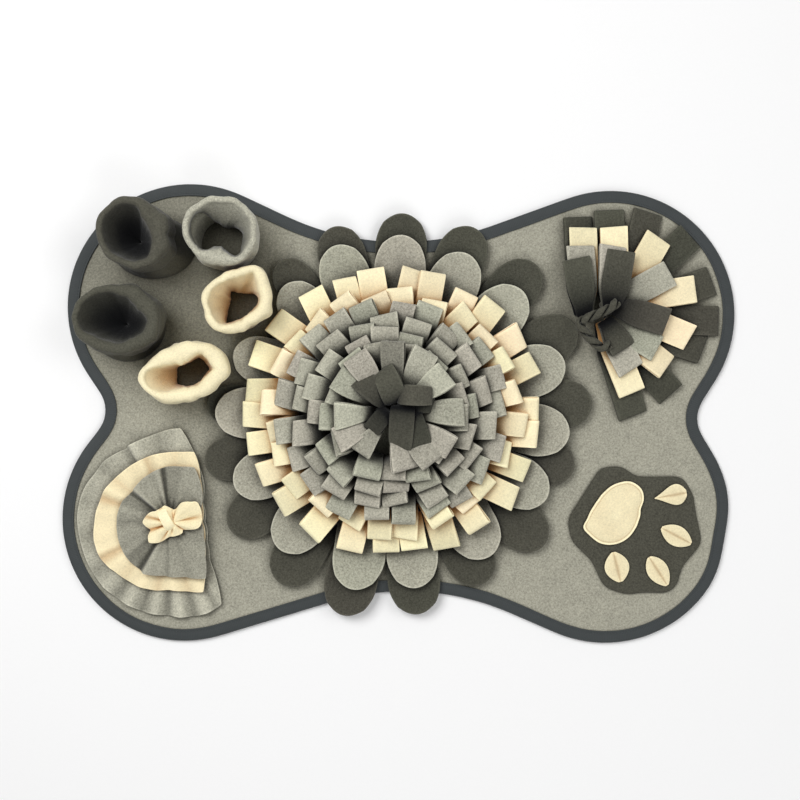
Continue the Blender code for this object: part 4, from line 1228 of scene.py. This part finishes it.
def build_bow():
    """A cream strip knotted where the flaps are gathered, with its crumpled ends spread."""
    middle = FAN_POCKET + BOW_AT
    sections, shades = [], []
    for share in BOW_SHARES:
        row = []
        for degrees in range(0, 360, BOW_STEP):
            out = compass(degrees) * around(BOW_RIM, degrees) * share
            height = bow_height(degrees, share)
            beside = (bow_height(degrees - BOW_SPREAD, share)
                      + bow_height(degrees + BOW_SPREAD, share)) / 2
            crumple = BOW_CRUMPLE * ripple(out.x, out.y, BOW_CRUMPLE_SIZE, 4)
            row.append(middle + out + UP * (BOW_BASE + height + crumple))
            # Painted shade in the bow's valleys, with a little over all of it.
            shades.append(0.10 + 0.75 * clamp((beside - height) / BOW_DEPTH))
        sections.append(row)
    bm, rows = closed_sheet(sections, middle + UP * (BOW_BASE + BOW_KNOT))
    for vert, shade in zip((vert for row in rows for vert in row), shades):
        paint(bm, (vert,), tone=0.6, warmth=-0.2, shade=shade)
    paint(bm, rows[0], edge=1.0)
    wrap = smooth_route([Vector((along, 0, BOW_BASE + z)) for along, z in KNOT_WRAP], 2)
    place = standing_at(FAN_POCKET + KNOT_AT, math.radians(KNOT_TURN))
    add_strip(bm, place, wrap, [KNOT_HALF] * len(wrap), Lie(0.0, 0.0, 0.4 * MM, -1.0 * MM, 0.0),
              Look(0.8, 0.0, -ROOT_SHADE))
    bow = make_piece("fan_bow", bm, "cream", "flap_bow", BOW_THICKNESS)


class SNUFFLE_OT_fan_pocket(bpy.types.Operator):
    """Make the gathered fan pocket: three flaps and the bow that holds them"""

    bl_idname = "snuffle.fan_pocket"
    bl_label = "Fan Pocket"

    def execute(self, context):
        for flap in FLAPS:
            build_flap(flap)
        build_bow()
        return {"FINISHED"}


# --- Tube pockets -------------------------------------------------------------------------------
# Each tube stands on an oval foot and is folded over outward at its rim, which makes a soft roll
# and a cuff. Wide and deep are the foot's half sizes. Rim, lip and the lining's low outline are
# (degrees, millimetres) pairs: the outside of the roll and its inside round x and y, and how far
# the lining sags in at its lowest, which is a share of the tube's height. A buckle moves the wall
# at one height only. Its angle and spread are in degrees, its height and reach are shares.
Sag = namedtuple("Sag", "x y share radii")
Buckle = namedtuple("Buckle", "angle spread height reach outer inner")
Tube = namedtuple("Tube", "name slot foot_x foot_y wide deep turn x y rim lip sag buckles")
TUBES = (
    Tube("tube_dark_back", "charcoal", -0.2360, 0.1600, 0.0410, 0.0305, 0, -0.2470, 0.1681,
         ((0, 35), (30, 36), (55, 32), (75, 33.5), (90, 33), (120, 35), (150, 35), (180, 33),
          (210, 32), (240, 31.5), (270, 33.5), (300, 35.5), (330, 36)),
         ((0, 16), (30, 14), (60, 16), (78, 24), (95, 26), (120, 28), (150, 29), (180, 29),
          (210, 26), (240, 25), (270, 26), (300, 27), (330, 20)),
         Sag(-0.2470, 0.1640, 0.16, ((0, 0.6), (180, 0.6))),
         (Buckle(38, 9, 0.85, 0.25, -0.0030, 0.0), Buckle(340, 12, 0.60, 0.30, 0.0026, 0.0),
          Buckle(358, 9, 0.70, 0.30, -0.0034, 0.0), Buckle(262, 70, 0.80, 0.06, -0.0015, 0.0))),
    Tube("tube_grey", "light_grey", -0.1630, 0.1630, 0.0280, 0.0260, 0, -0.1645, 0.1680,
         ((0, 33.5), (30, 34.5), (60, 34.5), (90, 33.5), (120, 35), (150, 37), (165, 36.5),
          (180, 35.5), (210, 31.5), (240, 31.5), (270, 31.5), (300, 32.5), (330, 34.5)),
         ((0, 28), (30, 29), (60, 29.5), (90, 29.5), (120, 31), (138, 32.5), (155, 31.5),
          (180, 30.5), (210, 27), (225, 24), (240, 17), (270, 14.5), (285, 19), (300, 27),
          (315, 28), (330, 27)),
         Sag(-0.1675, 0.1706, 0.45,
             ((0, 20), (30, 14), (60, 8), (90, 8), (118, 14), (130, 27), (142, 31), (155, 31),
              (180, 29), (210, 26), (228, 21), (240, 14), (270, 12), (285, 17), (298, 25),
              (315, 26), (330, 22))),
         (Buckle(330, 30, 0.30, 0.15, -0.0025, 0.0), Buckle(285, 10, 0.60, 0.20, -0.0020, 0.0))),
    Tube("tube_dark_side", "charcoal", -0.2610, 0.0845, 0.0370, 0.0350, 0, -0.2605, 0.0870,
         ((0, 38.5), (30, 39.5), (60, 36.5), (90, 34.5), (120, 36.5), (150, 41.5), (180, 44),
          (210, 39.5), (240, 33.5), (270, 31.5), (300, 32.5), (330, 37.5)),
         ((0, 26.5), (30, 20), (60, 20), (90, 24), (110, 28), (130, 31.5), (150, 36.5),
          (180, 38.5), (195, 34.5), (210, 27), (240, 22), (270, 21), (300, 19.5), (330, 23)),
         Sag(-0.2600, 0.0850, 0.16, ((0, 0.6), (180, 0.6))),
         (Buckle(300, 60, 0.22, 0.10, -0.0035, 0.0), Buckle(10, 14, 0.55, 0.25, 0.0030, 0.0),
          Buckle(45, 10, 0.80, 0.20, -0.0026, 0.0))),
    Tube("tube_cream_back", "cream", -0.1540, 0.1070, 0.0280, 0.0280, 40, -0.1497, 0.1032,
         ((0, 31.5), (30, 34), (45, 38), (60, 39.5), (70, 38), (90, 32), (120, 29.5), (150, 32),
          (165, 34.5), (180, 33), (210, 33), (240, 31), (255, 30), (270, 27.5), (300, 24.5),
          (330, 28), (342, 33)),
         ((0, 20.5), (15, 21.5), (30, 21.5), (50, 26.5), (62, 32.5), (75, 27), (90, 23), (120, 22),
          (150, 26), (180, 27), (210, 25), (228, 25), (240, 23.5), (255, 20), (270, 17),
          (300, 14.5), (315, 14.5), (340, 17)),
         Sag(-0.1545, 0.1061, 0.15,
             ((0, 20), (15, 21), (30, 18.5), (45, 13.5), (60, 11), (90, 10), (120, 13.5), (150, 8),
              (180, 7.5), (200, 9), (225, 14), (240, 22.5), (255, 19.5), (270, 16.5), (300, 15),
              (315, 15), (340, 17))),
         (Buckle(75, 12, 0.55, 0.25, 0.0, -0.0030), Buckle(150, 12, 0.50, 0.25, 0.0, -0.0025))),
    Tube("tube_cream_front", "cream", -0.2070, 0.0400, 0.0370, 0.0270, 20, -0.2003, 0.0390,
         ((0, 42.5), (15, 42), (30, 40), (60, 33.5), (90, 28), (120, 27.5), (150, 32), (170, 37.5),
          (180, 41.5), (190, 43.5), (210, 39), (240, 33.5), (270, 28), (300, 28), (330, 34),
          (345, 36.5), (352, 40.5)),
         ((0, 24), (6, 27.5), (20, 25), (30, 24.5), (45, 23.5), (55, 20), (63, 13.5), (75, 9.5),
          (90, 8.5), (120, 8.5), (150, 13.5), (165, 21), (172, 28), (180, 34.5), (190, 36.5),
          (205, 34.5), (220, 29), (230, 24.5), (240, 18.5), (270, 14), (300, 15.5), (315, 17.5),
          (330, 18), (345, 19.5)),
         Sag(-0.2060, 0.0397, 0.15,
             ((0, 23), (6, 26), (20, 24), (45, 21), (60, 11), (90, 7.5), (150, 8), (180, 7),
              (210, 8), (240, 13.5), (270, 13.5), (300, 15.5), (330, 18), (345, 19.5))),
         (Buckle(62, 10, 0.80, 0.30, -0.0020, 0.0), Buckle(110, 14, 0.70, 0.30, 0.0, -0.0020))),
)
# How pale a tube is, and how much painted shade darkens its lining and over how many rows of points
# it grows.
Lining = namedtuple("Lining", "tone shade fade")
LININGS = {
    "charcoal": Lining(1.3, 0.9, 4.5),
    "light_grey": Lining(0.5, 0.80, 7.0),
    "cream": Lining(0.0, 0.62, 6.0),
}
TUBE_STEP = 5  # degrees between two lines up a tube
TUBE_FOOT = 0.4 * MM
BODY_SHARES = (0.0, 0.06, 0.16, 0.28, 0.40, 0.48)
CUFF = ((0.50, 0.4 * MM), (0.53, -0.3 * MM), (0.62, 0.2 * MM))  # share of height, inset from rim
CUFF_TUCK = 3.6 * MM  # the body stands this far inside the cuff's edge
ROLL_TURNS = (-30, -5, 20, 45, 70, 95, 120, 145, 170, 195)  # degrees over the roll
ROLL_LEAST = 4.5 * MM
LINING_SHARES = (0.12, 0.28, 0.46, 0.66, 0.85, 1.0)
LUMP, CRUMPLE, RIM_WAVE = 2.0 * MM, 1.0 * MM, 1.8 * MM
CLOSED = 3 * MM  # a lining that comes in to this radius closes over the floor, a sheet with painted shade where the hollow is dark
LINING_FLARE = 1.0 * MM  # at the floor it stands this much wider
FREE_RADIUS = 14 * MM  # cloth drawn in closer than this has less room to wander


def oval_radius(wide, deep, degrees):
    toward = compass(degrees)
    return wide * deep / math.hypot(deep * toward.x, wide * toward.y)


def tube_line(tube, degrees, foot, top, seed):
    """A line up the outside of a tube, over its rolled rim and down its lining to the floor."""
    outward = compass(degrees).to_2d()
    foot_at, mouth_at = Vector((tube.foot_x, tube.foot_y)), Vector((tube.x, tube.y))
    sag_at = Vector((tube.sag.x, tube.sag.y))
    rim = around(tube.rim, degrees) - cloth().fleece / 2
    lip = around(tube.lip, degrees) + cloth().fleece / 2
    half = max(rim - lip, ROLL_LEAST) / 2
    roll = min(shape().rim_roll / 2, half)
    crest = top - RIM_WAVE * (0.5 - 0.5 * noise.noise(Vector((*outward * 1.3, seed + 5))))
    oval = oval_radius(tube.wide, tube.deep, degrees - tube.turn) - cloth().fleece / 2
    line = []  # centre, radius, height, side: 1 outside and -1 in the lining
    for share in BODY_SHARES:
        radius = oval + (rim - CUFF_TUCK - oval) * share / BODY_SHARES[-1]
        line.append((foot_at.lerp(mouth_at, share), radius, foot + share * (crest - foot), 1))
    for share, sunk in CUFF:
        at = foot_at.lerp(mouth_at, 0.5 + share / 2)
        line.append((at, rim - sunk, foot + share * (crest - foot), 1))
    for turn in ROLL_TURNS:
        over = math.radians(turn)
        side = 1 if turn < 90 else -1
        line.append((mouth_at, rim - half + half * math.cos(over),
                     crest - roll + roll * math.sin(over), side))
    _, start, high, _ = line[-1]
    low = foot + tube.sag.share * (crest - foot)
    sunk = around(tube.sag.radii, degrees)
    for share in LINING_SHARES:  # a lining that is drawn together hangs down and then runs in over the floor, where its painted shade stands for the dark hollow
        inward, down = (share**1.3, share**0.8) if sunk < CLOSED else (share, share)
        line.append((mouth_at.lerp(sag_at, share), start + (sunk - start) * inward,
                     high + (low - high) * down, -1))
    line.append((sag_at, sunk + LINING_FLARE, foot, -1))
    points = []
    for centre, radius, height, side in line:
        share = (height - foot) / (top - foot)
        for buckle in tube.buckles:
            depth = buckle.outer if side > 0 else buckle.inner
            radius += depth * bell(apart(degrees, buckle.angle), buckle.spread) * bell(
                share - buckle.height, buckle.reach)
        spot = Vector((*outward, share * 1.4))
        free = ease(share * 4) * min(1.0, radius / FREE_RADIUS)
        radius += LUMP * free * (0.4 + 0.6 * (side > 0)) * noise.noise(spot * 2.2 + UP * seed)
        radius += CRUMPLE * free * noise.noise(spot * 6.0 + UP * seed)
        points.append(Vector((*(centre + outward * radius), height)))
    return points


def build_tube(tube, seed):
    """A fleece tube folded over into a soft roll at its rim and sewn down at its foot."""
    low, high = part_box(tube.name)
    foot, top = low.z + TUBE_FOOT, high.z - cloth().fleece / 2
    lines = [tube_line(tube, degrees, foot, top, seed) for degrees in range(0, 360, TUBE_STEP)]
    sections = list(zip(*lines))
    bm = new_cloth()
    rows = skin(bm, sections)
    look, lining = look_of(random.Random(seed)), LININGS[tube.slot]
    for k, row in enumerate(rows):
        # Painted shade darkens the lining towards the floor.
        deep = max(0, k - len(rows) + len(LINING_SHARES) + 3) / lining.fade
        paint(bm, row, tone=0.3 * look.tone + lining.tone, warmth=0.2 * look.warmth,
              shade=lining.shade * min(1.0, deep))
    name = tube.name.replace("tube", "pocket")
    piece = make_piece(name, bm, tube.slot, tube.name, cloth().fleece)


class SNUFFLE_OT_tubes(bpy.types.Operator):
    """Make the five tube pockets with their rolled rims"""

    bl_idname = "snuffle.tubes"
    bl_label = "Tube Pockets"

    def execute(self, context):
        for seed, tube in enumerate(TUBES):
            build_tube(tube, shape().seed * 10 + seed)
        return {"FINISHED"}


# --- Paw ----------------------------------------------------------------------------------------
PATCH_OUTLINE = circles_of((
    (201.6, -63.0, 11.5, 1), (178.6, -105.5, 14.8, 1), (180.4, -115.6, 14.8, 1),
    (169.3, -154.3, 20.7, -1), (209.9, -154.3, 16.4, 1), (221.9, -158.0, 16.4, 1),
    (236.6, -188.4, 15.9, -1), (254.6, -157.3, 15.7, 1), (283.7, -153.4, 11.5, -1),
    (278.1, -121.1, 13.8, 1), (304.9, -91.6, 18.9, -1), (272.6, -83.3, 12.4, 1),
    (267.5, -72.3, 11.5, 1), (232.9, -48.3, 12.7, -1), (211.7, -63.0, 12.0, 1),
))
PATCH_CENTRE = Vector((0.2310, -0.1120))
PATCH_THICKNESS, PATCH_SPACING = 2.4 * MM, 6 * MM
PATCH_SHARES, PAD_SHARES = (0.80, 0.60, 0.40, 0.20), (0.78, 0.55, 0.30)
PATCH_WAVE, PATCH_WAVE_SIZE = 0.25 * MM, 20 * MM
PAD_RIM = (  # degrees, millimetres round the pad's centre
    (8, 24.5), (15, 24.4), (21, 27.7), (30, 31.7), (43, 35.6), (56, 36.3), (68, 35.7), (83, 31.9),
    (96, 29.1), (113, 25.4), (137, 22.7), (157, 22.8), (177, 25.4), (189, 28), (196, 31.8),
    (200, 34.5), (206, 33.2), (219, 31.5), (240, 30.9), (257, 29.3), (278, 27), (297, 25),
    (321, 23.1), (346, 22.8),
)
PAD_CENTRE = Vector((0.2090, -0.0980))
PAD_STEP = 6  # degrees between two points of its rim
PAD_SEAM = 2.6 * MM  # the pad is sewn down this far inside its cut edge
PAD_WAVE, PAD_WAVE_SIZE = 0.3 * MM, 14 * MM
Toe = namedtuple("Toe", "node x y length width turn widest")
TOES = (
    Toe("paw_toe_first", 0.2620, -0.0789, 0.0330, 0.0205, 10, 0.68),
    Toe("paw_toe_second", 0.2675, -0.1177, 0.0340, 0.0200, -28, 0.50),
    Toe("paw_toe_third", 0.2500, -0.1519, 0.0340, 0.0205, -57, 0.47),
    Toe("paw_toe_fourth", 0.2103, -0.1478, 0.0310, 0.0240, -76, 0.50),
)
TOE_ROWS, TOE_LANES = 15, (-1, -0.88, -0.55, -0.22, 0, 0.22, 0.55, 0.88, 1)


def build_patch():
    """The paw's dark ground, a thick fleece with soft edges."""
    outline, _ = even_outline(PATCH_OUTLINE, PATCH_SPACING)
    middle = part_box("paw_patch")[1].z - PATCH_THICKNESS / 2
    sections = [inset(outline, distance, height) for distance, height in (
        (0.0, middle - 0.5 * MM), (0.8 * MM, middle - 0.25 * MM), (2.4 * MM, middle),
        (5.0 * MM, middle + 0.1 * MM))]
    draw_in(sections, PATCH_CENTRE, PATCH_SHARES, lambda flat: middle + (
        PATCH_WAVE * ripple(flat.x, flat.y, PATCH_WAVE_SIZE)))
    bm, _ = closed_sheet(sections, Vector((*PATCH_CENTRE, middle)))
    patch = make_piece("paw_ground", bm, "charcoal", "paw_patch", PATCH_THICKNESS)


def build_pad():
    """The cream sole, full in the middle and sewn down inside its cut edge."""
    outline = []
    for degrees in range(0, 360, PAD_STEP):
        outward = compass(degrees).to_2d()
        outline.append((PAD_CENTRE + outward * around(PAD_RIM, degrees), outward))
    thickness = cloth().fleece
    low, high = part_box("paw_pad")
    base, full = low.z + thickness / 2, high.z - thickness / 2
    sections = [inset(outline, distance, height) for distance, height in (
        (0.0, base + 0.5 * MM), (0.7 * MM, base + 0.45 * MM),
        (PAD_SEAM - 0.9 * MM, base + 0.3 * MM), (PAD_SEAM, base),
        (PAD_SEAM + 1.0 * MM, base + 0.5 * MM),
        (PAD_SEAM + 3.0 * MM, (base + full) / 2 + 0.4 * MM))]
    draw_in(sections, PAD_CENTRE, PAD_SHARES, lambda flat: full + (
        PAD_WAVE * ripple(flat.x, flat.y, PAD_WAVE_SIZE, 3)))
    bm, rows = closed_sheet(sections, Vector((*PAD_CENTRE, full)))
    # Painted shade over the sole's middle and in soft clouds, none on its cut edge, which is
    # painted paler, partly as a painted highlight, and painted shade in the dent of its seam.
    for k, row in enumerate(rows):
        for vert in row:
            cloud = max(0, ripple(vert.co.x, vert.co.y, 20 * MM))
            paint(bm, (vert,), shade=0.08 * (k > 2) + 0.16 * cloud)
    paint(bm, rows[0] + rows[1], edge=1.0, shade=0.0)
    paint(bm, rows[3], tone=-1.0, shade=0.45)
    pad = make_piece("paw_sole", bm, "cream", "paw_pad", thickness)


def build_toe(toe):
    """A leaf of fleece sewn down along its middle, so that both halves stand up beside the seam."""
    thickness = cloth().fleece
    low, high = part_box(toe.node)
    base = low.z + thickness / 2
    rise = high.z - thickness / 2 - base
    bm = new_cloth()
    rows = grid(bm, TOE_ROWS, len(TOE_LANES))
    place = standing_at(Vector((toe.x, toe.y, base)), math.radians(toe.turn))
    bulge = math.log(0.5) / math.log(toe.widest)
    for k, row in enumerate(rows):
        share = 0.02 + 0.96 * k / (TOE_ROWS - 1)
        half = toe.width / 2 * math.sin(math.pi * share**bulge) ** 0.72
        for vert, lane in zip(row, TOE_LANES):
            height = rise * math.sin(math.pi * abs(lane) ** 0.8) * math.sin(math.pi * share) ** 0.5
            height += 0.35 * MM * abs(lane) ** 6 - 0.1 * MM * bell(lane, 0.2)
            vert.co = place @ Vector(((share - 0.5) * toe.length, half * lane, height))
            # Painted shade over the leaf, deepest in the crease along its seam and least at its
            # sides. The cut edges are painted paler, partly as a painted highlight.
            paint(bm, (vert,), shade=0.12 + 0.38 * bell(lane, 0.12) - 0.12 * abs(lane) ** 4,
                  tone=-1.4 * bell(lane, 0.1))
        paint(bm, (row[0], row[-1]), edge=1.0)
    paint(bm, rows[0] + rows[-1], edge=1.0)
    leaf = make_piece(toe.node.replace("toe", "leaf"), bm, "cream", toe.node, thickness)


class SNUFFLE_OT_paw(bpy.types.Operator):
    """Make the paw: its dark ground, the cream sole and the four toes"""

    bl_idname = "snuffle.paw"
    bl_label = "Paw"

    def execute(self, context):
        build_patch()
        build_pad()
        for toe in TOES:
            build_toe(toe)
        return {"FINISHED"}


# --- Stage --------------------------------------------------------------------------------------
CAMERA_OVER = Vector((0.0015, 0.0130))  # the camera looks straight down on this point
CAMERA_HEIGHT = 1.25  # over the panel
FIELD_WIDTH = 0.7728  # of the mat's level that the frame takes in
FLOOR_SIZE = 12.0
Lamp = namedtuple("Lamp", "name x y z size power")
LAMPS = (
    Lamp("left_softbox", -0.85, 0.75, 1.60, 1.1, 26.0),
    Lamp("right_softbox", 1.25, 0.40, 1.45, 1.2, 9.0),
    Lamp("near_softbox", 0.50, -1.40, 1.30, 1.2, 9.5),
)
WORLD_STRENGTH = 0.23


def build_lamp(lamp):
    data = bpy.data.lights.new(lamp.name, "AREA")
    data.shape = "SQUARE"
    data.size = lamp.size
    data.energy = lamp.power
    placed = bpy.data.objects.new(lamp.name, data)
    bpy.context.scene.collection.objects.link(placed)
    placed.location = (lamp.x, lamp.y, lamp.z)
    placed.rotation_euler = (-placed.location).to_track_quat("-Z", "Y").to_euler()
    placed.visible_camera = False


class SNUFFLE_OT_stage(bpy.types.Operator):
    """Make the camera, the soft studio light and the pale floor"""

    bl_idname = "snuffle.stage"
    bl_label = "Floor, Light and Camera"

    def execute(self, context):
        scene = context.scene
        data = bpy.data.cameras.new("overhead_camera")
        data.sensor_width = 36
        data.lens = data.sensor_width / (FIELD_WIDTH / CAMERA_HEIGHT)
        camera = bpy.data.objects.new("overhead_camera", data)
        scene.collection.objects.link(camera)
        camera.location = (*CAMERA_OVER, CAMERA_HEIGHT + panel_top())
        scene.camera = camera
        bm = bmesh.new()
        bmesh.ops.create_grid(bm, x_segments=1, y_segments=1, size=FLOOR_SIZE / 2)
        mesh = bpy.data.meshes.new("ground_paper")
        bm.to_mesh(mesh)
        bm.free()
        mesh.materials.append(studio_paper("matt_background_paper", colours().floor))
        floor = bpy.data.objects.new("ground_paper", mesh)
        scene.collection.objects.link(floor)
        for lamp in LAMPS:
            build_lamp(lamp)
        world = bpy.data.worlds.new("soft_white_room")
        world.use_nodes = True
        room = world.node_tree.nodes["Background"]
        room.inputs["Color"].default_value = (*colours().floor, 1)
        room.inputs["Strength"].default_value = WORLD_STRENGTH
        scene.world = world
        scene.view_settings.view_transform = "Standard"
        return {"FINISHED"}


# --- Panel and registration ---------------------------------------------------------------------
OPERATORS = (
    SNUFFLE_OT_stage,
    SNUFFLE_OT_ground,
    SNUFFLE_OT_petals,
    SNUFFLE_OT_rosette,
    SNUFFLE_OT_half_tuft,
    SNUFFLE_OT_fan_pocket,
    SNUFFLE_OT_tubes,
    SNUFFLE_OT_paw,
)
GROUPS = {
    "snuffle_cloth": SNUFFLE_PG_cloth,
    "snuffle_shape": SNUFFLE_PG_shape,
    "snuffle_colours": SNUFFLE_PG_colours,
}


class SNUFFLE_PT_panel(bpy.types.Panel):
    """Sizes, colours and the pieces of the mat"""

    bl_idname = "SNUFFLE_PT_panel"
    bl_label = "Snuffle Mat"
    bl_space_type = "VIEW_3D"
    bl_region_type = "UI"
    bl_category = "Snuffle Mat"

    def draw(self, context):
        for group in GROUPS:
            values = getattr(context.scene, group)
            box = self.layout.box()
            for name in values.bl_rna.properties.keys():
                if name not in ("rna_type", "name"):
                    box.prop(values, name)
        for operator in OPERATORS:
            self.layout.operator(operator.bl_idname)


def register():
    for kind in (*GROUPS.values(), *OPERATORS, SNUFFLE_PT_panel):
        bpy.utils.register_class(kind)
    for name, group in GROUPS.items():
        setattr(bpy.types.Scene, name, bpy.props.PointerProperty(type=group))


def unregister():
    for name in GROUPS:
        delattr(bpy.types.Scene, name)
    for kind in (SNUFFLE_PT_panel, *reversed(OPERATORS), *reversed(GROUPS.values())):
        bpy.utils.unregister_class(kind)


def main():
    register()
    bpy.ops.snuffle.stage()
    bpy.ops.snuffle.ground()
    bpy.ops.snuffle.petals()
    bpy.ops.snuffle.rosette()
    bpy.ops.snuffle.half_tuft()
    bpy.ops.snuffle.fan_pocket()
    bpy.ops.snuffle.tubes()
    bpy.ops.snuffle.paw()


if __name__ == "__main__":
    main()
